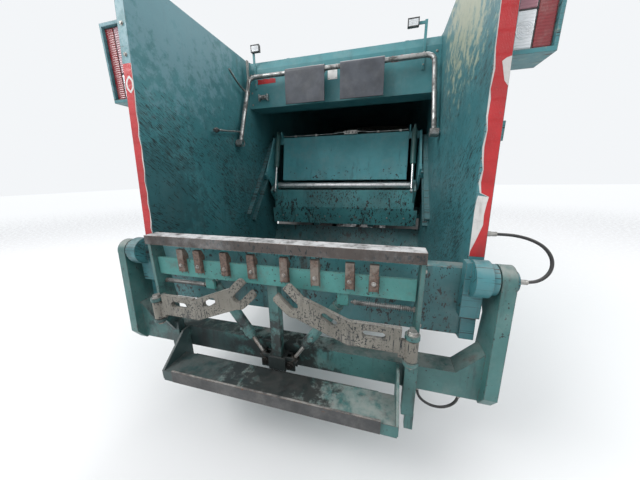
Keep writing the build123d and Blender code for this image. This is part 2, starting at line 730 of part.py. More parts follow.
def wall_outline():
    """Return the tailgate wall, its leaning rear edge and its foot under the trough."""
    foot = (REAR_LEAN * (850 - LEAN_Z), 850)
    tangent = trough_tangent(foot, TROUGH_R + 40)
    front = trough_point(TROUGH_R + 40, 75)
    with BuildSketch() as outline:
        with BuildLine():
            Polyline(
                tangent, foot, (REAR_LEAN * (WALL_TOP - LEAN_Z), WALL_TOP), (1500, WALL_TOP),
                (GATE_DEPTH, BODY_ROOF), (GATE_DEPTH, front[1]),
            )
            ThreePointArc((GATE_DEPTH, front[1]), trough_point(TROUGH_R + 40, 30), tangent)
        make_face()
    return outline.sketch_local


with BuildPart() as tailgate_sides:
    for side in (-1, 1):
        with BuildSketch(side_plane(side * WALL_IN, TAIL)):
            add(wall_outline())
            with Locations(LIFT_PIVOT):
                Circle(90)
        extrude(amount=side * WALL_T)
        with BuildSketch(side_plane(side * (WALL_IN + WALL_T), TAIL)):
            for y in (620, 1320):
                with Locations((y, 1750)):
                    Rectangle(90, 1700)
            with Locations((960, 1900)):
                Rectangle(1600, 90)
        extrude(amount=side * 50)
        turn = Plane(origin=(side * (WALL_IN - 45), TAIL + GUIDE_FOOT[0], GUIDE_FOOT[1]),
                     x_dir=(0, cos(radians(GUIDE_ANGLE)), sin(radians(GUIDE_ANGLE))), z_dir=(1, 0, 0))
        with BuildSketch(turn):
            for off in (-RAIL_GAP / 2 - 15, RAIL_GAP / 2 + 15):
                with Locations((sum(RAIL_SPAN) / 2, off)):
                    Rectangle(RAIL_SPAN[1] - RAIL_SPAN[0], 30)
        extrude(amount=side * 50)
        with Locations((side * 1020, TAIL - 35, 1145)):
            Box(90, 60, 290)
        with BuildSketch(side_plane(side * 1060, TAIL)):
            with Locations(LIFT_PIVOT):
                Circle(75)
        extrude(amount=side * (ARM_IN - GAP - 1060))
        with BuildSketch(side_plane(side * 1060, TAIL)):
            with Locations(LIFT_PIVOT):
                Circle(PIN_R)
        extrude(amount=side * 125)
        with BuildSketch(side_plane(side * (ARM_IN + ARM_T + GAP), TAIL)):
            with Locations(LIFT_PIVOT):
                Circle(50)
        extrude(amount=side * 15)
        with Locations((side * sum(LAMP_BOX_X) / 2, TAIL + sum(LAMP_BOX_Y) / 2 + 60, sum(LAMP_BOX_Z) / 2)):
            Box(LAMP_BOX_X[1] - LAMP_BOX_X[0], LAMP_BOX_Y[1] - LAMP_BOX_Y[0], LAMP_BOX_Z[1] - LAMP_BOX_Z[0])
            with Locations((0, -60, 0)):
                Box(150, 100, 420, mode=Mode.SUBTRACT)
        with Locations(Location((side * 1155, TAIL + LIFT_RAM_FOOT[0], LIFT_RAM_FOOT[1]), (0, 90, 0))):
            Cylinder(25, 180)
        with BuildSketch(side_plane(side * 1060)):
            with Locations(GATE_RAM_EYE):
                Circle(50)
        extrude(amount=side * 115)
        with Locations(Location((side * 965, TAIL + STOP_PIVOT[0], STOP_PIVOT[1]), (0, 90, 0))):
            Cylinder(20, 90)
tailgate_sides.part.label = "tailgate_sides"
export_step(tailgate_sides.part, "parts/tailgate_sides.step")

# Tail lamps seated in their housings
with BuildPart() as tail_lamps:
    for side in (-1, 1):
        with Locations((side * sum(LAMP_BOX_X) / 2, TAIL + 170, sum(LAMP_BOX_Z) / 2)):
            Box(150, 40, 420)
tail_lamps.part.label = "tail_lamps"
export_step(tail_lamps.part, "parts/tail_lamps.step")

# Hopper trough, a sill with a plate that runs down into a round bottom
TROUGH_T = 20.0
with BuildPart() as hopper_trough:
    inner_foot = (60.0, 880.0)
    outer_foot = (40.0, 860.0)
    inner_tangent = trough_tangent(inner_foot, TROUGH_R)
    outer_tangent = trough_tangent(outer_foot, TROUGH_R + TROUGH_T)
    inner_front = trough_point(TROUGH_R, 78)
    outer_front = trough_point(TROUGH_R + TROUGH_T, 78)
    with BuildSketch(side_plane(0, TAIL)):
        with BuildLine():
            Polyline(
                outer_tangent, outer_foot, (0, outer_foot[1]), (0, SILL_Z), (90, SILL_Z), (60, 1180),
                inner_foot, inner_tangent,
            )
            ThreePointArc(inner_tangent, trough_point(TROUGH_R, 30), inner_front)
            Line(inner_front, outer_front)
            ThreePointArc(outer_front, trough_point(TROUGH_R + TROUGH_T, 30), outer_tangent)
        make_face()
    extrude(amount=WALL_IN, both=True)
hopper_trough.part.label = "hopper_trough"
export_step(hopper_trough.part, "parts/hopper_trough.step")

# Top beam across the tailgate with the cover behind it
BEAM_Y = (1500.0, 1750.0)
BEAM_Z = (2460.0, 2850.0)
with BuildPart() as tailgate_beam:
    with BuildSketch(side_plane(0, TAIL)):
        with BuildLine():
            Polyline((BEAM_Y[0], BEAM_Z[0]), (BEAM_Y[0], BEAM_Z[1]), (1540, 2930), (GATE_DEPTH, 3040),
                     (GATE_DEPTH, 3020), (BEAM_Y[1], 2945), (BEAM_Y[1], BEAM_Z[0]), close=True)
        make_face()
        with Locations((sum(BEAM_Y) / 2, sum(BEAM_Z) / 2)):
            Rectangle(BEAM_Y[1] - BEAM_Y[0] - 24, BEAM_Z[1] - BEAM_Z[0] - 24, mode=Mode.SUBTRACT)
    extrude(amount=WALL_IN, both=True)
    for side in (-1, 1):
        with BuildSketch(side_plane(side * (HINGE_X[1] + GAP))):
            with BuildLine():
                Polyline(
                    (-2060, 3020), (-2045, 3110), (-2005, 3148), (-1965, 3110), (-2000, 3072), (-2000, 3030),
                    close=True,
                )
            make_face()
            with Locations(GATE_HINGE):
                Circle(20 + RUN_FIT, mode=Mode.SUBTRACT)
        extrude(amount=side * 40)
tailgate_beam.part.label = "tailgate_beam"
export_step(tailgate_beam.part, "parts/tailgate_beam.step")

# Packer carriage on slide blocks, holding the blade's pivot shaft
PACK_IN = 915.0
SHAFT_R = 38.0
PACKER_Y = TAIL + BLADE_PIVOT[0]
PACKER_Z = BLADE_PIVOT[1]
BLOCKS_ALONG = (900.0, 1300.0)
BLADE_RAM_X = 855.0
BLADE_RAM_HEAD = (1935.0, 2235.0)
with BuildPart() as packer_carriage:
    with BuildSketch(side_plane(0, TAIL)):
        with BuildLine():
            Polyline((1880, 1650), (1925, 1640), (2038, 2150), (2038, 2200), (1980, 2200), (1975, 2150), close=True)
        make_face()
    extrude(amount=800, both=True)
    with Locations((0, TAIL + 2009, 2160)):
        Box(2 * PACK_IN, 58, 80)
    with Locations(Location((0, PACKER_Y, PACKER_Z), (0, 90, 0))):
        Cylinder(SHAFT_R, 2 * PACK_IN)
    for side in (-1, 1):
        with BuildSketch(side_plane(side * PACK_IN, TAIL)):
            with BuildLine():
                Polyline((1835, 1550), (1870, 1525), (1920, 1530), (1950, 1600), (2038, 2200), (1940, 2200),
                         (1660, 1760), (1700, 1690), close=True)
            make_face()
        extrude(amount=side * 25)
        for along in BLOCKS_ALONG:
            middle = guide_point(along)
            block = Plane(origin=(side * (PACK_IN + 20), TAIL + middle[0], middle[1]),
                          x_dir=(0, cos(radians(GUIDE_ANGLE)), sin(radians(GUIDE_ANGLE))), z_dir=(1, 0, 0))
            with BuildSketch(block):
                Rectangle(120, 90)
            extrude(amount=side * 58)
        with BuildSketch(side_plane(side * 800, TAIL)):
            with BuildLine():
                Polyline((1985, 2150), (2035, 2190), (1955, 2262), (1915, 2262), (1910, 2220), close=True)
            make_face()
        extrude(amount=side * 12)
packer_carriage.part.label = "packer_carriage"
export_step(packer_carriage.part, "parts/packer_carriage.step")

# Packer blade, hung on the shaft by side levers that the rams push
BLADE_HALF = 905.0
BLADE_TIP_HALF = 945.0
LEVER_EYE = (-160.0, -60.0)
with BuildPart() as packer_blade:
    with BuildSketch(side_plane(0, PACKER_Y)):
        with BuildLine():
            Polyline((-50, PACKER_Z - 55), (60, PACKER_Z - 60), (75, PACKER_Z - 200), (-10, PACKER_Z - 497),
                     (-55, PACKER_Z - 497), (-78, PACKER_Z - 280), close=True)
        make_face()
    extrude(amount=BLADE_HALF, both=True)
    with BuildSketch(side_plane(0, PACKER_Y)):
        with BuildLine():
            Polyline(
                (-76, PACKER_Z - 300), (46, PACKER_Z - 300), (-10, PACKER_Z - 497), (-55, PACKER_Z - 497),
                close=True,
            )
        make_face()
    extrude(amount=BLADE_TIP_HALF, both=True)
    for side in (-1, 1):
        with BuildSketch(side_plane(side * 880, PACKER_Y)):
            with BuildLine():
                Polyline((LEVER_EYE[0] - 35, PACKER_Z + LEVER_EYE[1]), (LEVER_EYE[0], PACKER_Z + LEVER_EYE[1] + 35),
                         (-10, PACKER_Z + 62), (62, PACKER_Z), (60, PACKER_Z - 200), (-78, PACKER_Z - 200),
                         (LEVER_EYE[0] - 20, PACKER_Z + LEVER_EYE[1] - 30), close=True)
            make_face()
            with Locations((0, PACKER_Z)):
                Circle(SHAFT_R + RUN_FIT, mode=Mode.SUBTRACT)
            with Locations((LEVER_EYE[0], PACKER_Z + LEVER_EYE[1])):
                Circle(16, mode=Mode.SUBTRACT)
        extrude(amount=side * 25)
packer_blade.part.label = "packer_blade"
export_step(packer_blade.part, "parts/packer_blade.step")


def ram_plane(x, foot, eye):
    """Plane through a ram's foot at x, its normal along the ram towards the eye."""
    return Plane(origin=(x, foot[0], foot[1]), x_dir=(1, 0, 0), z_dir=(0, eye[0] - foot[0], eye[1] - foot[1]))


# Rams in pairs, each a barrel with a foot eye and a rod with an end eye
# columns: name, x, foot, eye, barrel radius, rod radius, barrel length, rod start, eye half width, pin radius
RAMS = (
    ("gate_ram", GATE_RAM_X, GATE_RAM_FOOT, GATE_RAM_EYE, 38.0, 22.0, 900.0, 60.0, 15.0, 22.0),
    ("lifter_ram", LIFT_RAM_X, (TAIL + 740, 1065), (TAIL + 71, 1123), 40.0, 20.0, 500.0, 60.0, 18.0, 25.0),
    ("blade_ram", BLADE_RAM_X, (TAIL + BLADE_RAM_HEAD[0], BLADE_RAM_HEAD[1]),
     (PACKER_Y + LEVER_EYE[0], PACKER_Z + LEVER_EYE[1]), 30.0, 16.0, 430.0, 290.0, 12.0, 14.0),
)
for name, x, foot, eye, barrel_r, rod_r, barrel_len, rod_start, eye_half, pin_r in RAMS:
    reach = hypot(eye[0] - foot[0], eye[1] - foot[1])
    with BuildPart() as barrels:
        for side in (-1, 1):
            axis_plane = ram_plane(side * x, foot, eye)
            with BuildSketch(axis_plane.offset(30)):
                Circle(barrel_r)
                Circle(rod_r + RUN_FIT, mode=Mode.SUBTRACT)
            extrude(amount=barrel_len - 30)
            with BuildSketch(axis_plane.offset(20)):
                Circle(barrel_r)
            extrude(amount=30)
            with BuildSketch(side_plane(side * x)):
                with Locations(foot):
                    Circle(34)
            extrude(amount=eye_half, both=True)
            with BuildSketch(side_plane(side * x)):
                with Locations(foot):
                    Circle(pin_r + RUN_FIT)
            extrude(amount=60, both=True, mode=Mode.SUBTRACT)
    barrels.part.label = f"{name}_barrels"
    export_step(barrels.part, f"parts/{name}_barrels.step")

    with BuildPart() as rods:
        for side in (-1, 1):
            axis_plane = ram_plane(side * x, foot, eye)
            with BuildSketch(axis_plane.offset(rod_start)):
                Circle(rod_r)
            extrude(amount=reach - rod_start - 20)
            with BuildSketch(side_plane(side * x)):
                with Locations(eye):
                    Circle(30)
            extrude(amount=eye_half, both=True)
    rods.part.label = f"{name}_rods"
    export_step(rods.part, f"parts/{name}_rods.step")

# Bin stop frame, one bent tube on two pivot sleeves, with its rubber flaps
STOP_TUBE_R = 22.0
STOP_TOP = (1400.0, 2740.0)
STOP_HALF = 950.0
with BuildPart() as bin_stop_frame:
    with BuildLine() as stop_path:
        FilletPolyline(
            (-STOP_HALF, TAIL + STOP_PIVOT[0], STOP_PIVOT[1]), (-STOP_HALF + 20, TAIL + STOP_TOP[0], STOP_TOP[1]),
            (STOP_HALF - 20, TAIL + STOP_TOP[0], STOP_TOP[1]), (STOP_HALF, TAIL + STOP_PIVOT[0], STOP_PIVOT[1]),
            radius=70,
        )
    with BuildSketch(Plane(origin=stop_path.line @ 0, z_dir=stop_path.line % 0)):
        Circle(STOP_TUBE_R)
    sweep()
    for side in (-1, 1):
        with Locations(Location((side * STOP_HALF, TAIL + STOP_PIVOT[0], STOP_PIVOT[1]), (0, 90, 0))):
            Cylinder(36, 70)
            Cylinder(20 + RUN_FIT, 90, mode=Mode.SUBTRACT)
bin_stop_frame.part.label = "bin_stop_frame"
export_step(bin_stop_frame.part, "parts/bin_stop_frame.step")

FLAP_X = (80.0, 500.0)
with BuildPart() as stop_flaps:
    for side in (-1, 1):
        with BuildSketch(side_plane(side * FLAP_X[0], TAIL)):
            with Locations(STOP_TOP):
                Circle(STOP_TUBE_R + 14)
            with Locations((STOP_TOP[0] - STOP_TUBE_R - 7, STOP_TOP[1] - 150)):
                Rectangle(14, 300)
            with Locations(STOP_TOP):
                Circle(STOP_TUBE_R, mode=Mode.SUBTRACT)
        extrude(amount=side * (FLAP_X[1] - FLAP_X[0]))
stop_flaps.part.label = "stop_flaps"
export_step(stop_flaps.part, "parts/stop_flaps.step")

# Lifter frame, two arms on the tailgate's pivots joined by a cross tube
TUBE_Y = (-105.0, 10.0)
TUBE_Z = (550.0, 700.0)
END_PLATE_X = (752.0, 772.0)
STEP_HALF = 620.0
RAM_FOOT_X = 80.0
RAM_FOOT_Z = 600.0
COMB_RAM_Y = -140.0
HOOK_PIN = (738.0, -262.0)
HOOK_PIN_R = 16.0
with BuildPart() as lifter_frame:
    for side in (-1, 1):
        with BuildSketch(side_plane(side * ARM_IN, TAIL)):
            with BuildLine():
                Polyline((-135, 1215), (-165, 620), (-110, 540), (30, 540), (60, 620), (20, 1000), (95, 1100),
                         (90, 1150), (15, 1215), close=True)
            make_face()
            with Locations(LIFT_PIVOT):
                Circle(76)
                Circle(PIN_R + RUN_FIT, mode=Mode.SUBTRACT)
        extrude(amount=side * ARM_T)
        with BuildSketch(cross_plane(TAIL + TUBE_Y[1])):
            with BuildLine():
                Polyline((side * 985, TUBE_Z[1]), (side * ARM_IN, TUBE_Z[1]), (side * ARM_IN, 830), close=True)
            make_face()
        extrude(amount=TUBE_Y[1] - TUBE_Y[0])
        with Locations((side * 762, TAIL - 135, 585)):
            Box(65, 50, 350)
        with Locations((side * 775, TAIL - 135, 365)):
            Box(45, 36, 110)
        with BuildSketch(side_plane(side * END_PLATE_X[0], TAIL)):
            with BuildLine():
                Polyline((-226, 820), (-160, 700), (-100, 700), (-100, 900), (-150, 1330), (-226, 1330), close=True)
            make_face()
        extrude(amount=side * (END_PLATE_X[1] - END_PLATE_X[0]))
        for z in (835, 975):
            with BuildSketch(Plane.XY.offset(z)):
                with Locations((side * HOOK_PIN[0], TAIL + HOOK_PIN[1])):
                    Circle(34)
                with Locations((side * 742, TAIL - 231)):
                    Rectangle(22, 62)
            extrude(amount=20)
        with Locations((side * HOOK_PIN[0], TAIL + HOOK_PIN[1], 915)):
            Cylinder(HOOK_PIN_R, 160)
        with BuildSketch(side_plane(side * 690, TAIL)):
            with BuildLine():
                Polyline((-348, 480), (-348, 540), (-160, 700), (-110, 700), (-110, 470), close=True)
            make_face()
        extrude(amount=side * 15)
    with BuildSketch(side_plane(0, TAIL)):
        with Locations((sum(TUBE_Y) / 2, sum(TUBE_Z) / 2)):
            Rectangle(TUBE_Y[1] - TUBE_Y[0], TUBE_Z[1] - TUBE_Z[0])
    extrude(amount=ARM_IN, both=True)
    with BuildSketch(side_plane(0, TAIL)):
        with Locations((-259, 505)):
            Rectangle(178, 70)
    extrude(amount=700, both=True)
    with Locations((0, TAIL - 140, 600)):
        Box(110, 80, 90)
    with Locations((0, TAIL - 150, 880)):
        Box(60, 50, 500)
    for side in (-1, 1):
        for y in (COMB_RAM_Y - 20, COMB_RAM_Y + 20):
            with Locations((side * RAM_FOOT_X, TAIL + y, RAM_FOOT_Z)):
                Box(60, 10, 90)
lifter_frame.part.label = "lifter_frame"
export_step(lifter_frame.part, "parts/lifter_frame.step")

# Step lip, the dark bar along the lifter's rear edge
with BuildPart() as step_lip:
    with Locations((0, TAIL - 354, 522)):
        Box(2 * STEP_HALF, 12, 78)
step_lip.part.label = "step_lip"
export_step(step_lip.part, "parts/step_lip.step")

# Comb bar with its teeth, sliding up to the clamp bar
TEETH_X = (95.0, 262.0, 438.0, 553.0)
COMB_HALF = 745.0
COMB_Z = (1127.0, 1236.0)
COMB_EYE = (400.0, 1075.0)
with BuildPart() as comb_bar:
    with Locations((0, TAIL - 193, sum(COMB_Z) / 2)):
        Box(2 * COMB_HALF, 15, COMB_Z[1] - COMB_Z[0])
    for side in (-1, 1):
        for x in TEETH_X:
            with BuildSketch(side_plane(side * x, TAIL)):
                with BuildLine():
                    Polyline((-222, 1165), (-180, 1155), (-180, 1262), (-200, 1300), (-222, 1300), close=True)
                make_face()
            extrude(amount=21, both=True)
        with Locations((side * COMB_EYE[0], TAIL - 179, 1105)):
            Box(60, 16, 100)
        with BuildSketch(cross_plane(TAIL - 175)):
            with Locations((side * COMB_EYE[0], COMB_EYE[1])):
                Circle(12)
        extrude(amount=-55)
comb_bar.part.label = "comb_bar"
export_step(comb_bar.part, "parts/comb_bar.step")

# Clamp bar over the comb
CLAMP_HALF = 772.0
with BuildPart() as clamp_bar:
    with BuildSketch(side_plane(0, TAIL)):
        with BuildLine():
            Polyline((-240, 1325), (-240, 1378), (-150, 1378), (-150, 1366), (-230, 1366), (-230, 1325), close=True)
        make_face()
    extrude(amount=CLAMP_HALF, both=True)
    for side in (-1, 1):
        with Locations((side * 762, TAIL - 190, 1349)):
            Box(20, 80, 36)
clamp_bar.part.label = "clamp_bar"
export_step(clamp_bar.part, "parts/clamp_bar.step")

# Comb rams, hung on the comb with their rods down to the step
COMB_RAM_LEN = hypot(COMB_EYE[0] - RAM_FOOT_X, COMB_EYE[1] - RAM_FOOT_Z)
for side_name, side in SIDES:
    head = (side * COMB_EYE[0], TAIL + COMB_RAM_Y, COMB_EYE[1])
    foot_dir = (side * (RAM_FOOT_X - COMB_EYE[0]), 0, RAM_FOOT_Z - COMB_EYE[1])
    ram_line = Plane(origin=head, x_dir=(0, 1, 0), z_dir=foot_dir)
    with BuildPart() as comb_ram_barrel:
        with BuildSketch(ram_line.offset(20)):
            Circle(26)
        extrude(amount=20)
        with BuildSketch(ram_line.offset(30)):
            Circle(26)
            Circle(11 + RUN_FIT, mode=Mode.SUBTRACT)
        extrude(amount=380)
        with BuildSketch(cross_plane(TAIL + COMB_RAM_Y)):
            with Locations((head[0], head[2])):
                Circle(26)
        extrude(amount=14, both=True)
        with BuildSketch(cross_plane(TAIL + COMB_RAM_Y)):
            with Locations((head[0], head[2])):
                Circle(12 + RUN_FIT)
        extrude(amount=40, both=True, mode=Mode.SUBTRACT)
    comb_ram_barrel.part.label = f"comb_ram_barrel_{side_name}"
    export_step(comb_ram_barrel.part, f"parts/comb_ram_barrel_{side_name}.step")

    with BuildPart() as comb_ram_rod:
        with BuildSketch(ram_line.offset(250)):
            Circle(11)
        extrude(amount=COMB_RAM_LEN - 250 - 15)
        with BuildSketch(cross_plane(TAIL + COMB_RAM_Y)):
            with Locations((side * RAM_FOOT_X, RAM_FOOT_Z)):
                Circle(20)
        extrude(amount=10, both=True)
    comb_ram_rod.part.label = f"comb_ram_rod_{side_name}"
    export_step(comb_ram_rod.part, f"parts/comb_ram_rod_{side_name}.step")

# Hook arms, folded inwards, each with a barrel hinge and an open jaw
HOOK_T = 24.0
JAW = (165.0, 1065.0)
JAW_R = 68.0
JAW_SLOT = 46.0
for side_name, side in SIDES:
    with BuildPart() as hook_arm:
        with BuildSketch(cross_plane(TAIL + HOOK_PIN[1])):
            with Locations((575, 955)):
                Rectangle(230, 130)
            with Locations((710, 915)):
                Rectangle(60, 90)
            with Locations(Location((310, 1008), (0, 0, 158))):
                SlotCenterToCenter(310, 124)
            with Locations(JAW):
                Circle(JAW_R)
            with Locations(Location((JAW[0] - 34, JAW[1] + 34), (0, 0, 135))):
                RectangleRounded(110, 2 * JAW_R, 20)
            with Locations(Location((JAW[0] - 60, JAW[1] + 60), (0, 0, 135))):
                Rectangle(170, JAW_SLOT, mode=Mode.SUBTRACT)
            with Locations(JAW):
                Circle(JAW_SLOT / 2, mode=Mode.SUBTRACT)
            with Locations(Location((348, 1014), (0, 0, -32))):
                SlotOverall(95, 36, mode=Mode.SUBTRACT)
            with Locations((565, 968)):
                SlotOverall(110, 38, mode=Mode.SUBTRACT)
        extrude(amount=HOOK_T / 2, both=True)
        with Locations((HOOK_PIN[0], TAIL + HOOK_PIN[1], 915)):
            Cylinder(30, 110)
        with Locations((HOOK_PIN[0], TAIL + HOOK_PIN[1], 915)):
            Cylinder(HOOK_PIN_R + RUN_FIT, 200, mode=Mode.SUBTRACT)
        if side < 0:
            mirror(about=Plane.YZ, mode=Mode.REPLACE)
    hook_arm.part.label = f"hook_arm_{side_name}"
    export_step(hook_arm.part, f"parts/hook_arm_{side_name}.step")
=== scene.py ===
"""Looks of a rear loading refuse truck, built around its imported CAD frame, in metres."""
import logging
import math
from collections.abc import Callable
from dataclasses import dataclass, field
from enum import Enum

import bmesh
import bpy
from mathutils import Matrix, Vector


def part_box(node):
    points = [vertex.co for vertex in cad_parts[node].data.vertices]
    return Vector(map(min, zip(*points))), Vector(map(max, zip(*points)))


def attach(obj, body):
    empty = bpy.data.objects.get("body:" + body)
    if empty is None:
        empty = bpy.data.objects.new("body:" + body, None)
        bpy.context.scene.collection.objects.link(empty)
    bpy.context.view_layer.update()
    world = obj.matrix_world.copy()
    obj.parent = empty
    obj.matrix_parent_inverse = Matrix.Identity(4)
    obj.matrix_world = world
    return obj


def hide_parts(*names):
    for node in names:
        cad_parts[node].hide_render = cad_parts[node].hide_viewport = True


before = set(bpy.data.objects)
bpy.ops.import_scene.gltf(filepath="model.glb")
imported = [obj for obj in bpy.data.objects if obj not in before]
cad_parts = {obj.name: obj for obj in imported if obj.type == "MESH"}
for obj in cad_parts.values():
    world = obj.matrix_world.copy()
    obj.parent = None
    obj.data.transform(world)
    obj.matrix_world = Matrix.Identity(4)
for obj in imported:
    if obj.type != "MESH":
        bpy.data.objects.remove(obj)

log = logging.getLogger("refuse_truck")

Colour = tuple[float, float, float]
Point = tuple[float, float, float]
Flat = tuple[float, float]
Piece = bpy.types.Object
Shape = bmesh.types.BMesh
Material = bpy.types.Material
Socket = bpy.types.NodeSocket

# Row frame: the tailgate's rear edge, and the lean of that edge per metre of height
TAIL: float = -4.045
REAR_LEAN: float = 0.067
LEAN_Z: float = 1.18
WALL_OUT: float = 1.07
SIDES: tuple[tuple[str, int], ...] = (("left", -1), ("right", 1))
RIGHT: Point = (1, 0, 0)
AHEAD: Point = (0, 1, 0)
BACK: Point = (0, -1, 0)
UP: Point = (0, 0, 1)
DOWN: Point = (0, 0, -1)
# record slots of the finishes that don't bear their slot's name
SLOTS: dict[str, str] = {
    "tape_red": "teal_paint", "tape_white": "teal_paint", "label_white": "grey_paint",
    "comb_paint": "teal_lifter", "bolt_steel": "worn_steel", "pipe_steel": "worn_steel",
    "oily_steel": "worn_steel",
    "shaft_steel": "bright_steel", "hose_rubber": "black_rubber", "mirror_face": "glass",
    "lamp_red": "lamp_plastic", "lamp_red_painted_sunlit": "lamp_plastic", "lamp_amber": "lamp_plastic",
    "lamp_clear": "lamp_plastic"}


class Body(Enum):
    """CAD bodies that carry trim."""

    CHASSIS = "chassis"
    CAB = "cab"
    TAILGATE = "tailgate"
    CARRIAGE = "carriage"
    BLADE = "blade"
    BIN_STOP = "bin_stop"
    LIFTER = "lifter"
    COMB = "comb"


class Graph:
    """Shader nodes of one material, added and linked in short calls."""

    def __init__(self, name: str) -> None:
        """Makes an empty material with its principled shader.

        Args:
            name: the material's name.
        """
        self.material = bpy.data.materials.new(name)
        self.material.use_nodes = True
        self.tree = self.material.node_tree
        self.shader = self.tree.nodes["Principled BSDF"]
        self.place = self.node("ShaderNodeTexCoord").outputs["Object"]

    def node(self, kind: str, feeds: dict[str | int, object] | None = None,
             **settings: object) -> bpy.types.Node:
        """Adds a node, sets its properties and feeds its inputs.

        Args:
            kind: the node's Blender type.
            feeds: outputs and values by the input's name or number.
            **settings: properties by name.

        Returns:
            The new node.
        """
        made = self.tree.nodes.new(kind)
        for key, value in settings.items():
            setattr(made, key, value)
        self.feed(made, feeds or {})
        return made

    def feed(self, node: bpy.types.Node, feeds: dict[str | int, object]) -> None:
        """Links outputs to a node's inputs, or sets these to plain values.

        Args:
            node: the node.
            feeds: outputs and values by the input's name or number, colours without alpha.
        """
        for key, value in feeds.items():
            socket = node.inputs[key]
            if isinstance(value, Socket):
                self.tree.links.new(value, socket)
            else:
                socket.default_value = (*value, 1.0) if socket.type == "RGBA" else value

    def stretch(self, scale: Point, turn: Point = (0.0, 0.0, 0.0)) -> Socket:
        """Object coordinates turned and then scaled along each axis.

        Args:
            scale: factors along X, Y and Z.
            turn: angles in degrees.

        Returns:
            The vector output.
        """
        feeds = {"Vector": self.place, "Rotation": [math.radians(a) for a in turn]}
        turned = self.node("ShaderNodeMapping", feeds, vector_type="TEXTURE")
        scaled = self.node("ShaderNodeMapping", {"Vector": turned.outputs["Vector"], "Scale": scale})
        return scaled.outputs["Vector"]

    def noise(self, scale: float, detail: float = 4.0, rough: float = 0.6,
              where: Socket | None = None) -> Socket:
        """Fractal noise over the object's coordinates or another vector.

        Args:
            scale: cells per metre.
            detail: octaves.
            rough: strength of the finer octaves.
            where: the other vector.

        Returns:
            The noise value.
        """
        feeds = {"Vector": where or self.place, "Scale": scale, "Detail": detail, "Roughness": rough}
        return self.node("ShaderNodeTexNoise", feeds).outputs["Fac"]

    def band(self, value: Socket, low: float, high: float, to_low: float = 0.0,
             to_high: float = 1.0) -> Socket:
        """Maps low..high smoothly to to_low..to_high.

        Args:
            value: what is mapped.
            low: value that gives to_low.
            high: value that gives to_high.
            to_low: result at low.
            to_high: result at high.

        Returns:
            The mapped value.
        """
        feeds = {"Value": value, "From Min": low, "From Max": high, "To Min": to_low, "To Max": to_high}
        return self.node("ShaderNodeMapRange", feeds, interpolation_type="SMOOTHSTEP").outputs["Result"]

    def math(self, operation: str, first: object, second: object = 0.0, clamp: bool = True) -> Socket:
        """One arithmetic step, its result kept between 0 and 1 if clamped."""
        made = self.node("ShaderNodeMath", {0: first, 1: second}, operation=operation, use_clamp=clamp)
        return made.outputs["Value"]

    def times(self, first: object, second: object) -> Socket:
        """Product of two values, kept between 0 and 1."""
        return self.math("MULTIPLY", first, second)

    def plus(self, first: object, second: object) -> Socket:
        """Sum of two values, kept between 0 and 1."""
        return self.math("ADD", first, second)

    def along(self, axis: str) -> Socket:
        """Object coordinate along X, Y or Z in metres."""
        return self.node("ShaderNodeSeparateXYZ", {0: self.place}).outputs[axis]

    def near(self, centre: Point, reach: float) -> Socket:
        """1 at the centre, with a ragged border out to 0 beyond the reach.

        Args:
            centre: point in the row frame.
            reach: radius in metres.

        Returns:
            The mask.
        """
        made = self.node("ShaderNodeVectorMath", {0: self.place, 1: centre}, operation="DISTANCE")
        border = self.band(self.noise(12.0, 6.0, 0.7), 0.3, 0.7, 0.0, reach * 0.8)
        gap = self.math("SUBTRACT", made.outputs["Value"], border, clamp=False)
        return self.band(gap, reach * 0.6, reach * 0.1)

    def mix(self, share: object, first: object, second: object) -> Socket:
        """Mixes two colours.

        Args:
            share: share of the second, from 0 to 1.
            first: a colour or an output.
            second: a colour or an output.

        Returns:
            The mixed colour.
        """
        made = self.node("ShaderNodeMix", {0: share}, data_type="RGBA")
        first_in, second_in = (index for index, s in enumerate(made.inputs) if s.type == "RGBA")
        self.feed(made, {first_in: first, second_in: second})
        return next(s for s in made.outputs if s.type == "RGBA")

    def facing_up(self) -> Socket:
        """1 where the surface faces up, 0 where it is upright or faces down."""
        normal = self.node("ShaderNodeSeparateXYZ", {0: self.node("ShaderNodeNewGeometry").outputs["Normal"]})
        return self.band(normal.outputs["Z"], 0.35, 0.9)

    def edges(self, radius: float) -> tuple[Socket, Socket]:
        """Rounded normal and edge mask within a radius of each sharp edge.

        Args:
            radius: reach in metres.

        Returns:
            The rounded normal and the mask.
        """
        rounded = self.node("ShaderNodeBevel", {"Radius": radius}, samples=4).outputs["Normal"]
        flat = self.node("ShaderNodeNewGeometry").outputs["Normal"]
        agree = self.node("ShaderNodeVectorMath", {0: rounded, 1: flat}, operation="DOT_PRODUCT")
        return rounded, self.band(agree.outputs["Value"], 0.995, 0.93)

    def bump(self, height: Socket, depth: float, normal: Socket | None = None) -> None:
        """Feeds the shader's normal from a height.

        Args:
            height: the height, from 0 to 1.
            depth: metres at a height of 1.
            normal: the normal that it starts from.
        """
        made = self.node("ShaderNodeBump", {"Distance": depth, "Height": height})
        if normal:
            self.feed(made, {"Normal": normal})
        self.feed(self.shader, {"Normal": made.outputs["Normal"]})

    def close(self, colour: object, rough: object, metal: object = 0.0) -> Material:
        """Feeds colour, roughness and metal to the shader and hands back the material."""
        self.feed(self.shader, {"Base Color": colour, "Roughness": rough, "Metallic": metal})
        return self.material


def shade(colour: Colour, factor: float) -> Colour:
    """The colour made darker or lighter by a factor."""
    return tuple(c * factor for c in colour)


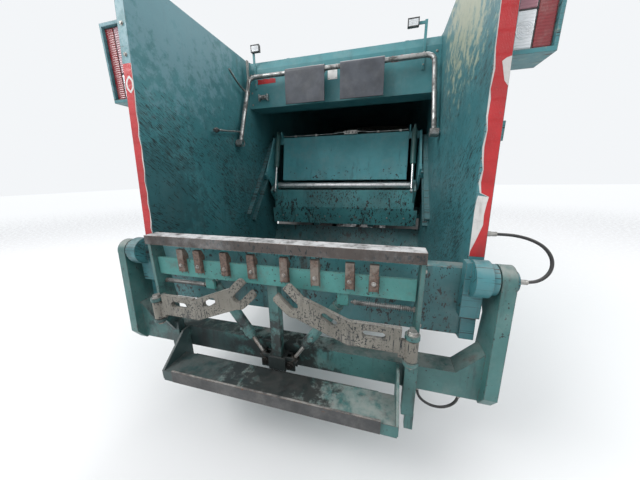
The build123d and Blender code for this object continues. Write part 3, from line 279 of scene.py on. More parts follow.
@dataclass(frozen=True)
class Marks:
    """Short dark dashes or specks that crowd in patches and below one height."""

    cells: Point
    turn: Point = (0.0, 0.0, 0.0)
    sparse: float = 0.70
    dense: float = 0.60
    fade: Flat = (9.0, 8.0)
    patches: float = 1.6
    contrast: float = 55.0

    def mask(self, g: Graph) -> Socket:
        """Finds how strongly each point is marked.

        Args:
            g: the material's nodes.

        Returns:
            The mask.
        """
        speck = g.noise(1.0, 3.0, 0.62, g.stretch(self.cells, self.turn))
        crowd = g.times(g.band(g.noise(self.patches, 4.0, 0.6), 0.36, 0.60), g.band(g.along("Z"), *self.fade))
        limit = g.band(crowd, 0.0, 1.0, self.sparse, self.dense)
        return g.times(g.math("SUBTRACT", speck, limit, clamp=False), self.contrast)


@dataclass(frozen=True)
class WornPaint:
    """Sprayed paint with tone, dust, grime runs, marks, stains, patches of painted light and edge wear."""

    name: str
    base: Colour
    rough: float = 0.42
    tone: float = 0.25
    dust: float = 0.35
    dust_colour: Colour = (0.42, 0.40, 0.37)
    grime: float = 0.3
    grime_colour: Colour = (0.025, 0.028, 0.028)
    marks: tuple[Marks, ...] = ()
    mark_colour: Colour = (0.012, 0.016, 0.018)
    # columns: centre, reach, strength, colour; real stains and patches of painted light
    stains_and_painted_light: tuple[tuple[Point, float, float, Colour], ...] = ()
    wear: float = 0.4
    wear_colour: Colour = (0.20, 0.17, 0.15)
    rust: float = 0.1
    rust_colour: Colour = (0.13, 0.055, 0.025)
    edge: float = 0.006

    def material(self) -> Material:
        """Builds the paint.

        Returns:
            The material.
        """
        g = Graph(self.name)
        normal, edge = g.edges(self.edge)
        mottle = g.noise(2.3, 5.0, 0.65)
        fine = g.noise(38.0, 6.0, 0.7)
        pale = tuple(min(1.0, c * (1 + self.tone) + 0.01) for c in self.base)
        deep = tuple(c * (1 - self.tone) for c in self.base)
        colour = g.mix(g.band(mottle, 0.3, 0.7), deep, pale)
        runs = g.noise(9.0, 7.0, 0.7, g.stretch((1.0, 1.0, 0.12)))
        smear = g.times(g.band(runs, 0.52, 0.72), g.band(mottle, 0.35, 0.6))
        low = g.band(g.along("Z"), 2.6, 0.5, 0.55, 1.25)
        grime = g.times(g.times(smear, low), self.grime * 2.2)
        colour = g.mix(grime, colour, self.grime_colour)
        for marks in self.marks:
            colour = g.mix(marks.mask(g), colour, self.mark_colour)
        film = g.times(g.band(g.noise(5.5, 9.0, 0.72), 0.42, 0.75), self.dust * 0.6)
        lying = g.times(g.facing_up(), g.band(g.noise(14.0, 6.0, 0.7), 0.3, 0.6))
        dust = g.plus(film, g.times(lying, self.dust * 1.8))
        colour = g.mix(dust, colour, self.dust_colour)
        worn = g.times(edge, g.band(fine, 0.44, 0.56))
        worn = g.times(worn, self.wear * 1.5)
        colour = g.mix(worn, colour, self.wear_colour)
        spots = g.times(g.band(g.noise(21.0, 8.0, 0.62), 0.66, 0.71), g.band(mottle, 0.45, 0.6))
        rusty = g.times(g.plus(spots, g.times(worn, 0.4)), self.rust * 3.0)
        colour = g.mix(rusty, colour, self.rust_colour)
        # each patch is a real stain or a patch of painted light, mixed in over a ragged round area
        for centre, reach, strength, tint in self.stains_and_painted_light:
            colour = g.mix(g.times(g.near(centre, reach), strength), colour, tint)
        rough = g.plus(g.band(fine, 0.2, 0.8, self.rough - 0.07, self.rough + 0.1),
                       g.times(g.plus(dust, rusty), 0.4))
        grain = g.times(g.noise(120.0, 3.0), 0.25)
        g.bump(g.math("SUBTRACT", grain, g.times(worn, 0.5)), 0.0012, normal)
        return g.close(colour, rough)


@dataclass(frozen=True)
class BoltedComb:
    """Pale teal plate whose bolted teeth, behind and above it, are brown with rust."""

    name: str = "comb_paint"
    plate: Colour = (0.066, 0.25, 0.23)
    tooth: Colour = (0.105, 0.068, 0.052)
    plate_back: float = TAIL - 0.2009
    plate_top: float = 1.2365
    marks: Marks = Marks((70.0, 70.0, 60.0), sparse=0.72, dense=0.62, patches=6.0)

    def material(self) -> Material:
        """Builds the finish.

        Returns:
            The material.
        """
        g = Graph(self.name)
        normal, edge = g.edges(0.005)
        patch = g.noise(5.0, 7.0, 0.68)
        fine = g.noise(75.0, 6.0, 0.75)
        pale = g.mix(g.band(patch, 0.35, 0.65), shade(self.plate, 0.78), self.plate)
        pale = g.mix(self.marks.mask(g), pale, (0.02, 0.024, 0.022))
        dull = g.times(g.band(g.noise(14.0, 8.0, 0.7), 0.5, 0.72), 0.55)
        pale = g.mix(dull, pale, (0.09, 0.10, 0.09))
        brown = g.mix(g.band(fine, 0.35, 0.68), shade(self.tooth, 0.4), shade(self.tooth, 1.6))
        brown = g.mix(g.times(g.band(patch, 0.50, 0.62), 0.6), brown, (0.23, 0.21, 0.18))
        behind = g.band(g.along("Y"), self.plate_back, self.plate_back - 0.0006)
        above = g.band(g.along("Z"), self.plate_top, self.plate_top + 0.002)
        worn = g.times(edge, g.band(fine, 0.45, 0.55))
        colour = g.mix(g.times(worn, 0.8), pale, (0.12, 0.09, 0.07))
        colour = g.mix(g.math("MAXIMUM", behind, above), colour, brown)
        g.bump(g.times(fine, 0.6), 0.0014, normal)
        return g.close(colour, g.band(fine, 0.2, 0.8, 0.45, 0.75))


@dataclass(frozen=True)
class Film:
    """Reflective film with its honeycomb, dulled by dirt."""

    name: str
    base: Colour
    dirt: float = 0.35
    cells: float = 170.0

    def material(self) -> Material:
        """Builds the film.

        Returns:
            The material.
        """
        g = Graph(self.name)
        feeds = {"Vector": g.place, "Scale": self.cells, "Randomness": 0.15}
        comb = g.node("ShaderNodeTexVoronoi", feeds, feature="DISTANCE_TO_EDGE")
        cell = g.band(comb.outputs["Distance"], 0.02, 0.12)
        fade = g.band(g.noise(3.0, 6.0, 0.65), 0.35, 0.65)
        colour = g.mix(fade, shade(self.base, 0.72), self.base)
        colour = g.mix(g.times(g.math("SUBTRACT", 1.0, cell), 0.25), colour, shade(self.base, 0.6))
        spots = g.band(g.noise(45.0, 8.0, 0.75), 0.60, 0.68)
        runs = g.band(g.noise(16.0, 7.0, 0.7, g.stretch((1.0, 1.0, 0.15))), 0.52, 0.75)
        grime = g.times(g.math("MAXIMUM", spots, runs), self.dirt)
        colour = g.mix(grime, colour, (0.06, 0.05, 0.045))
        g.bump(cell, 0.0003)
        return g.close(colour, g.band(grime, 0.0, 0.4, 0.28, 0.6))


@dataclass(frozen=True)
class BareMetal:
    """Unpainted metal with scrape marks, dull patches and rust."""

    name: str
    base: Colour = (0.50, 0.49, 0.47)
    rough: float = 0.35
    rust: float = 0.0
    rust_colour: Colour = (0.16, 0.075, 0.035)
    dirt: float = 0.2
    dirt_colour: Colour = (0.06, 0.055, 0.05)
    edge: float = 0.004

    def material(self) -> Material:
        """Builds the metal.

        Returns:
            The material.
        """
        g = Graph(self.name)
        normal, edge = g.edges(self.edge)
        patch = g.noise(7.0, 7.0, 0.7)
        fine = g.noise(60.0, 5.0, 0.7, g.stretch((1.0, 1.0, 0.3), (0.0, 25.0, 0.0)))
        colour = g.mix(g.band(fine, 0.35, 0.7), shade(self.base, 0.8), self.base)
        dirt = g.times(g.band(g.noise(11.0, 8.0, 0.7), 0.45, 0.68), self.dirt * 1.6)
        colour = g.mix(dirt, colour, self.dirt_colour)
        bare, full = 0.62 - 0.22 * self.rust, 0.70 - 0.15 * self.rust
        rust = g.times(g.band(patch, bare, full), self.rust * 1.2)
        rust = g.times(rust, g.band(edge, 0.0, 1.0, 1.0, 0.35))
        flaky = g.mix(g.band(g.noise(90.0, 5.0, 0.8), 0.35, 0.7), shade(self.rust_colour, 0.45),
                      shade(self.rust_colour, 1.5))
        colour = g.mix(rust, colour, flaky)
        rough = g.plus(g.band(fine, 0.2, 0.8, self.rough - 0.05, self.rough + 0.12),
                       g.times(g.plus(rust, dirt), 0.45))
        metal = g.math("SUBTRACT", 1.0, g.plus(rust, g.times(dirt, 0.8)))
        g.bump(g.plus(g.times(fine, 0.3), g.times(rust, 0.5)), 0.0010, normal)
        return g.close(colour, rough, metal)


@dataclass(frozen=True)
class Moulded:
    """Moulded rubber or plastic with a fine grain and a dusty film."""

    name: str
    base: Colour = (0.03, 0.03, 0.032)
    rough: float = 0.6
    dust: float = 0.3
    dust_colour: Colour = (0.30, 0.29, 0.27)
    grain: float = 220.0
    depth: float = 0.0006
    edge: float = 0.004

    def material(self) -> Material:
        """Builds the moulded finish.

        Returns:
            The material.
        """
        g = Graph(self.name)
        normal, edge = g.edges(self.edge)
        colour = g.mix(g.band(g.noise(6.0, 5.0), 0.35, 0.65), shade(self.base, 0.8),
                       tuple(c * 1.2 + 0.002 for c in self.base))
        film = g.times(g.band(g.noise(9.0, 8.0, 0.72), 0.42, 0.72), self.dust * 0.7)
        lying = g.times(g.facing_up(), self.dust)
        dust = g.plus(g.plus(film, lying), g.times(edge, self.dust * 0.3))
        colour = g.mix(dust, colour, self.dust_colour)
        rough = g.plus(g.band(g.noise(30.0, 4.0), 0.3, 0.7, self.rough - 0.05, self.rough + 0.06),
                       g.times(dust, 0.3))
        g.bump(g.noise(self.grain, 2.0, 0.5), self.depth, normal)
        return g.close(colour, rough)


@dataclass(frozen=True)
class Lens:
    """Clear coloured lamp plastic with moulded ribs."""

    name: str
    base: Colour
    ribs: float = 160.0

    def material(self) -> Material:
        """Builds the lens.

        Returns:
            The material.
        """
        g = Graph(self.name)
        feeds = {"Vector": g.place, "Scale": self.ribs / 6.3}
        wave = g.node("ShaderNodeTexWave", feeds, bands_direction="Z")
        dull = g.band(g.noise(12.0, 7.0, 0.7), 0.45, 0.75)
        colour = g.mix(g.times(dull, 0.35), self.base, (0.25, 0.22, 0.2))
        g.feed(g.shader, {"Coat Weight": 0.5})
        g.bump(wave.outputs["Fac"], 0.0015)
        return g.close(colour, g.band(dull, 0.0, 1.0, 0.12, 0.4))


@dataclass(frozen=True)
class Pane:
    """Window glass with a dusty film."""

    name: str
    tint: Colour = (0.55, 0.62, 0.62)

    def material(self) -> Material:
        """Builds the pane.

        Returns:
            The material.
        """
        g = Graph(self.name)
        film = g.band(g.noise(7.0, 8.0, 0.7), 0.45, 0.8, 0.10, 0.35)
        g.feed(g.shader, {"IOR": 1.45, "Alpha": g.band(film, 0.0, 1.0, 0.28, 0.75)})
        return g.close(g.mix(film, self.tint, (0.5, 0.49, 0.47)), g.band(film, 0.1, 0.35, 0.04, 0.25))


@dataclass(frozen=True)
class Cloth:
    """Woven seat cloth."""

    name: str
    base: Colour = (0.06, 0.065, 0.08)

    def material(self) -> Material:
        """Builds the cloth.

        Returns:
            The material.
        """
        g = Graph(self.name)
        feeds = {"Vector": g.place, "Scale": 110.0, "Distortion": 1.5}
        waves = [g.node("ShaderNodeTexWave", feeds, bands_direction=axis) for axis in "XZ"]
        weave = g.times(*(wave.outputs["Fac"] for wave in waves))
        colour = g.mix(weave, shade(self.base, 0.6), shade(self.base, 1.6))
        g.feed(g.shader, {"Sheen Weight": 0.3})
        g.bump(weave, 0.001)
        return g.close(colour, 0.9)


OILY: Colour = (0.010, 0.010, 0.010)
CROWDED_DASHES: tuple[Marks, ...] = (
    Marks((1.0, 150.0, 17.0), (56.0, 0.0, 0.0), 0.690, 0.545, (3.00, 1.85)),
    Marks((1.0, 85.0, 8.0), (48.0, 0.0, 0.0), 0.70, 0.580, (2.85, 1.75), 2.2),
    Marks((1.0, 130.0, 10.0), (-27.0, 0.0, 0.0), 0.72, 0.640, (2.5, 1.6), 2.7),
    Marks((1.0, 26.0, 22.0), (35.0, 0.0, 0.0), 0.74, 0.640, (2.6, 1.45), 1.9),
)
BLADE_SPECKS: tuple[Marks, ...] = (
    Marks((42.0, 24.0, 24.0), sparse=0.70, dense=0.565, fade=(1.66, 1.46), patches=3.0),
    Marks((95.0, 40.0, 40.0), sparse=0.70, dense=0.60, fade=(2.0, 1.5), patches=3.0),
)


@dataclass
class Finishes:
    """Every finish of the truck, each made once and kept by its name."""

    made: dict[str, Material] = field(default_factory=dict)
    recipes: tuple[object, ...] = (
        WornPaint("teal_paint", (0.055, 0.222, 0.245), tone=0.12, grime=0.22, dust=0.22, wear=0.25),
        WornPaint("teal_wall", (0.042, 0.175, 0.195), tone=0.14, grime=0.32, dust=0.12, wear=0.5, rust=0.03,
                  marks=CROWDED_DASHES, stains_and_painted_light=(
                      ((1.0, TAIL + 0.55, 2.95), 0.75, 0.75, (0.50, 0.49, 0.33)),
                      # painted light: pale blue haze standing for low sun on the upper left wall
                      ((-1.0, TAIL + 0.45, 3.10), 0.95, 0.55, (0.17, 0.31, 0.36)),
                      ((-1.0, TAIL + 0.12, 1.55), 0.55, 0.45, (0.016, 0.030, 0.034)))),
        # painted light: the carriage's teal is brightened to stand in for the light inside the hopper
        WornPaint("teal_carriage_painted_lit", (0.085, 0.36, 0.40), tone=0.15, grime=0.3, dust=0.3, wear=0.6, rust=0.03,
                  marks=(Marks((30.0, 24.0, 24.0), sparse=0.72, dense=0.60, fade=(1.98, 1.66),
                               patches=3.0),)),
        WornPaint("teal_hopper", (0.034, 0.150, 0.162), grime=0.5, dust=0.25, wear=0.7, rust=0.02,
                  marks=BLADE_SPECKS),
        WornPaint("teal_lifter", (0.036, 0.128, 0.122), grime=0.6, dust=0.26, wear=0.8, rust=0.12,
                  wear_colour=(0.07, 0.07, 0.065),
                  marks=(Marks((60.0, 60.0, 45.0), sparse=0.71, dense=0.635, patches=4.0),),
                  stains_and_painted_light=(((0.0, TAIL - 0.22, 0.555), 0.40, 0.92, OILY),
                          ((-0.55, TAIL - 0.25, 0.56), 0.55, 0.75, (0.022, 0.030, 0.032)))),
        WornPaint("clamp_paint", (0.036, 0.028, 0.024), rough=0.6, tone=0.4, grime=0.8, dust=0.50,
                  dust_colour=(0.50, 0.50, 0.50), wear=0.9, rust=0.45,
                  marks=(Marks((60.0, 60.0, 30.0), sparse=0.66, dense=0.56, patches=6.0),)),
        BoltedComb(),
        WornPaint("cab_paint", (0.72, 0.73, 0.72), rough=0.25, tone=0.03, grime=0.12, dust=0.25, wear=0.1,
                  rust=0.0),
        WornPaint("chassis_paint", (0.022, 0.022, 0.024), rough=0.5, grime=0.2, dust=0.45, wear=0.4,
                  rust=0.35),
        WornPaint("step_paint", (0.030, 0.032, 0.034), rough=0.55, grime=0.5, dust=0.3, wear=1.0, rust=0.3,
                  wear_colour=(0.12, 0.10, 0.09)),
        WornPaint("hook_grey", (0.168, 0.158, 0.132), rough=0.6, tone=0.25, grime=0.9, dust=0.22, wear=0.9,
                  rust=0.12, wear_colour=(0.06, 0.055, 0.05),
                  marks=(Marks((95.0, 40.0, 95.0), sparse=0.65, dense=0.555, patches=7.0),
                         Marks((130.0, 40.0, 12.0), sparse=0.68, dense=0.585, patches=5.0))),
        # painted light: the hopper's teal brightened on the blade to stand in for the light inside the hopper
        WornPaint("blade_teal_painted_lit", (0.062, 0.265, 0.280), grime=0.6, dust=0.25, wear=0.8, rust=0.03,
                  marks=BLADE_SPECKS),
        Film("tape_red", (0.48, 0.016, 0.020)),
        Film("tape_white", (0.66, 0.64, 0.62), dirt=0.5),
        WornPaint("rim_paint", (0.42, 0.42, 0.42), rough=0.4, grime=0.4, dust=0.4, wear=0.3, rust=0.25),
        BareMetal("pipe_steel", (0.44, 0.44, 0.43), 0.36, rust=0.12, dirt=0.55),
        BareMetal("bright_steel", (0.70, 0.70, 0.70), 0.12, rust=0.05, dirt=0.15),
        BareMetal("shaft_steel", (0.86, 0.86, 0.86), 0.34, rust=0.04, dirt=0.2),
        BareMetal("mirror_face", (0.85, 0.86, 0.87), 0.03, rust=0.0, dirt=0.05),
        BareMetal("bolt_steel", (0.40, 0.39, 0.37), 0.4, rust=0.5, dirt=0.4),
        BareMetal("oily_steel", (0.050, 0.048, 0.045), 0.3, rust=0.1, dirt=0.5),
        BareMetal("aluminium", (0.60, 0.60, 0.61), 0.35, rust=0.0, dirt=0.3),
        Moulded("tyre", (0.018, 0.018, 0.019), 0.75, dust=0.45),
        Moulded("black_rubber", (0.016, 0.017, 0.02), 0.55, dust=0.45),
        Moulded("flap_rubber", (0.062, 0.068, 0.082), 0.36, dust=0.14),
        Moulded("dark_plastic", (0.035, 0.035, 0.037), 0.55, dust=0.3),
        Moulded("hose_rubber", (0.012, 0.012, 0.013), 0.45, dust=0.2),
        Moulded("label_white", (0.72, 0.72, 0.70), 0.5, dust=0.3),
        Lens("lamp_red", (0.22, 0.010, 0.016)),
        # painted light: the red lens's colour where sun falls on it, given to the upper inner lamp section
        Lens("lamp_red_painted_sunlit", (0.30, 0.12, 0.15)),
        Lens("lamp_amber", (0.75, 0.20, 0.01)),
        Lens("lamp_clear", (0.70, 0.72, 0.74)),
        Pane("glass"),
        Cloth("seat_cloth"),
    )

    def get(self, name: str) -> Material:
        """Hands out a finish, made on its first use.

        Args:
            name: the finish's name.

        Returns:
            Its material.
        """
        if name not in self.made:
            recipe = next(r for r in self.recipes if r.name == name)
            self.made[name] = recipe.material()
        return self.made[name]


def put_object(name: str, data: bpy.types.ID) -> Piece:
    """Makes an object of a mesh, curve, lamp or camera in the scene.

    Args:
        name: its name.
        data: what it shows.

    Returns:
        The object.
    """
    made = bpy.data.objects.new(name, data)
    bpy.context.scene.collection.objects.link(made)
    return made


def put_box(shape: Shape, middle: Point, size: Point, round_by: float = 0.0) -> None:
    """Adds a box with rounded edges to the mesh.

    Args:
        shape: the mesh that it joins.
        middle: its centre.
        size: its full lengths along X, Y and Z.
        round_by: radius of its edges.
    """
    place = Matrix.Translation(middle) @ Matrix.Diagonal((*size, 1.0))
    made = bmesh.ops.create_cube(shape, size=1.0, matrix=place)
    if round_by:
        round_off(shape, {e for v in made["verts"] for e in v.link_edges}, round_by)


def round_off(shape: Shape, edges: set[bmesh.types.BMEdge], radius: float) -> None:
    """Rounds edges of the mesh in two steps."""
    bmesh.ops.bevel(shape, geom=list(edges), offset=radius, segments=2, affect="EDGES", profile=0.5)


def towards(direction: Point | Vector) -> Matrix:
    """Rotation that turns +Z into the direction."""
    return Vector(direction).to_track_quat("Z", "Y").to_matrix()


def put_round(shape: Shape, foot: Point | Vector, direction: Point | Vector, radius: float, length: float,
              sides: int = 24, top: float | None = None, round_by: float = 0.0) -> None:
    """Adds a round or many-sided column to the mesh, standing on its foot.

    Args:
        shape: the mesh that it joins.
        foot: centre of its lower end.
        direction: where it points.
        radius: radius at the foot.
        length: its length.
        sides: number of flats.
        top: radius at the far end.
        round_by: radius of the far rim's rounding.
    """
    turn = towards(direction)
    middle = Vector(foot) + turn @ Vector((0, 0, length / 2))
    made = bmesh.ops.create_cone(shape, cap_ends=True, segments=sides, radius1=radius,
                                 radius2=radius if top is None else top, depth=length,
                                 matrix=Matrix.Translation(middle) @ turn.to_4x4())
    if round_by:
        far = Vector(foot) + turn @ Vector((0, 0, length))
        axis = turn @ Vector(UP)
        rim = {e for v in made["verts"] for e in v.link_edges
               if all(abs((w.co - far).dot(axis)) < 1e-5 for w in e.verts)}
        round_off(shape, rim, round_by)


def put_bolt(shape: Shape, seat: Point, direction: Point, size: float = 0.012) -> None:
    """Adds a hexagon bolt head on its washer.

    Args:
        shape: the mesh that it joins.
        seat: point on the surface under the head.
        direction: outward normal of that surface.
        size: radius of the hexagon.
    """
    out = Vector(direction).normalized()
    put_round(shape, seat, direction, size * 1.35, size * 0.25, 16)
    put_round(shape, Vector(seat) + out * size * 0.25, direction, size, size * 0.75, 6, size * 0.96)


def put_bead(shape: Shape, start: Point, end: Point, radius: float = 0.005) -> None:
    """Adds a weld bead of overlapping ripples between two points.

    Args:
        shape: the mesh that it joins.
        start: its first end.
        end: its other end.
        radius: radius of a ripple.
    """
    a, b = Vector(start), Vector(end)
    count = max(2, int((b - a).length / (radius * 1.6)))
    for step in range(count + 1):
        place = Matrix.Translation(a.lerp(b, step / count))
        bmesh.ops.create_icosphere(shape, subdivisions=1, radius=radius, matrix=place)


def put_plate(shape: Shape, outline: list[Flat],
              place: Callable[[float, float, float], Point], thick: float, lift: float = 0.0) -> None:
    """Adds a thin plate from its flat outline.

    Args:
        shape: the mesh that it joins.
        outline: corners in the plate's own two directions.
        place: turns across, up and outward into a point.
        thick: its thickness outward.
        lift: its distance outward from the place.
    """
    near = [shape.verts.new(place(a, b, lift)) for a, b in outline]
    far = [shape.verts.new(place(a, b, thick + lift)) for a, b in outline]
    shape.faces.new(near)
    shape.faces.new(far[::-1])
    for index in range(len(outline)):
        after = (index + 1) % len(outline)
        shape.faces.new((near[index], far[index], far[after], near[after]))


def put_ring(shape: Shape, middle: Point | Vector, direction: Point | Vector, radius: float, wire: float,
             sides: int = 32) -> None:
    """Adds a round ring of round section to the mesh.

    Args:
        shape: the mesh that it joins.
        middle: its centre.
        direction: its axis.
        radius: radius of its centreline.
        wire: radius of its section.
        sides: segments round it.
    """
    turn = towards(direction)
    rings = []
    for step in range(sides):
        angle = 2 * math.pi * step / sides
        out = Vector((math.cos(angle), math.sin(angle), 0.0))
        rings.append([shape.verts.new(Vector(middle) + turn @ (out * (radius + wire * math.cos(a))
                                                               + Vector((0, 0, wire * math.sin(a)))))
                      for a in (math.pi * k / 4 for k in range(8))])
    for step in range(sides):
        here, there = rings[step], rings[(step + 1) % sides]
        for k in range(8):
            shape.faces.new((here[k], here[(k + 1) % 8], there[(k + 1) % 8], there[k]))


@dataclass
class Trim:
    """What every sub-assembly shares: the finishes, the body that carries it and ways to add pieces."""

    finishes: Finishes
    body: str = Body.TAILGATE.value

    def dressed(self, name: str, data: bpy.types.ID, look: str, body: str | None, slot: str | None) -> Piece:
        """Makes a piece of a mesh or curve, with its finish, and sets it on a body.

        Args:
            name: the piece's name.
            data: its mesh or curve.
            look: the finish's name.
            body: the CAD body that carries it, if not the sub-assembly's own.
            slot: the record's material slot, if not the finish's own; not used.

        Returns:
            The new piece.
        """
        body, slot = body or self.body, slot or SLOTS.get(look, look)
        data.materials.append(self.finishes.get(look))
        piece = put_object(name, data)
        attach(piece, body)
        return piece

    def add(self, name: str, shape: Shape, look: str, body: str | None = None, slot: str | None = None,
            smooth: bool = False) -> Piece:
        """Turns a built mesh into a piece.

        Args:
            name: the piece's name.
            shape: its mesh, freed here.
            look: the finish's name.
            body: the CAD body that carries it, if not the sub-assembly's own.
            slot: the record's material slot, if not the finish's own.
            smooth: shade the faces smooth.

        Returns:
            The new piece.
        """
        mesh = bpy.data.meshes.new(name)
        bmesh.ops.recalc_face_normals(shape, faces=shape.faces)
        shape.to_mesh(mesh)
        shape.free()
        for polygon in mesh.polygons:
            polygon.use_smooth = smooth
        return self.dressed(name, mesh, look, body, slot)

    def tube(self, name: str, route: list[Point], radius: float, look: str, body: str | None = None,
             closed: bool = False, fine: int = 5) -> Piece:
        """Round rod, pipe, seal or hose along a smooth route, as one curve piece.

        Args:
            name: the piece's name.
            route: control points of its line.
            radius: its radius.
            look: the finish's name.
            body: the CAD body that carries it, if not the sub-assembly's own.
            closed: joins its ends.
            fine: steps between two control points.

        Returns:
            The new piece.
        """
        line = bpy.data.curves.new(name, "CURVE")
        line.dimensions = "3D"
        spline = line.splines.new("NURBS")
        spline.points.add(len(route) - 1)
        for point, place in zip(spline.points, route):
            point.co = (*place, 1.0)
        spline.order_u = 3
        spline.use_endpoint_u = not closed
        spline.use_cyclic_u = closed
        spline.resolution_u = fine
        line.bevel_depth = radius
        line.bevel_resolution = 4 if fine > 3 else 1
        line.use_fill_caps = not closed
        return self.dressed(name, line, look, body, None)


@dataclass
class CadDressing:
    """Finishes of the CAD nodes that stay as they are."""

    finishes: Finishes
    looks: dict[str, tuple[str, ...]] = field(default_factory=lambda: {
        "teal_paint": ("body_shell", "body_front_wall", "body_floor", "tailgate_beam"),
        "teal_wall": ("tailgate_sides",),
        "teal_hopper": ("hopper_trough",),
        # the carriage's finish is the teal paint brightened as painted light
        "teal_carriage_painted_lit": ("packer_carriage",),
        # the blade's finish is the teal paint brightened as painted light
        "blade_teal_painted_lit": ("packer_blade",),
        "teal_lifter": ("lifter_frame", "comb_ram_barrel_left", "comb_ram_barrel_right",
                        "blade_ram_barrels"),
        "comb_paint": ("comb_bar",),
        "pipe_steel": ("bin_stop_frame",),
        "clamp_paint": ("clamp_bar",),
        "cab_paint": ("cab_shell", "cab_front_panel", "door_left", "door_right"),
        "chassis_paint": ("chassis_frame", "powertrain", "front_axle", "rear_axle", "knuckle_left",
                          "knuckle_right", "silencer", "battery_box", "gate_ram_barrels",
                          "lifter_ram_barrels"),
        "step_paint": ("step_lip",),
        "hook_grey": ("hook_arm_left", "hook_arm_right", "ejector_plate"),
        "bright_steel": ("gate_ram_rods", "lifter_ram_rods", "blade_ram_rods"),
        "bolt_steel": ("comb_ram_rod_left", "comb_ram_rod_right"),
        "aluminium": ("fuel_tank", "side_guards"),
        "rim_paint": ("front_rim_left", "front_rim_right", "rear_rims_left", "rear_rims_right"),
        "tyre": ("front_tyre_left", "front_tyre_right", "rear_tyres_left", "rear_tyres_right"),
        "flap_rubber": ("stop_flaps",),
        "dark_plastic": ("front_bumper", "mudguards", "mirrors", "dashboard", "cab_floor"),
        "lamp_red": ("tail_lamps",),
        "lamp_clear": ("headlamps",),
        "seat_cloth": ("seats",),
        "glass": ("windscreen", "door_glass_left", "door_glass_right"),
    })

    def dress(self) -> int:
        """Gives every CAD node its finish.

        Returns:
            The number of nodes dressed.
        """
        for look, nodes in self.looks.items():
            for node in nodes:
                self._paint(node, look)
        return sum(len(nodes) for nodes in self.looks.values())

    def _paint(self, node: str, look: str) -> None:
        """Puts one finish in all of a node's material slots.

        Args:
            node: the CAD node.
            look: the finish's name.
        """
        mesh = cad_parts[node].data
        if not mesh.materials:
            mesh.materials.append(None)
        for index in range(len(mesh.materials)):
            mesh.materials[index] = self.finishes.get(look)


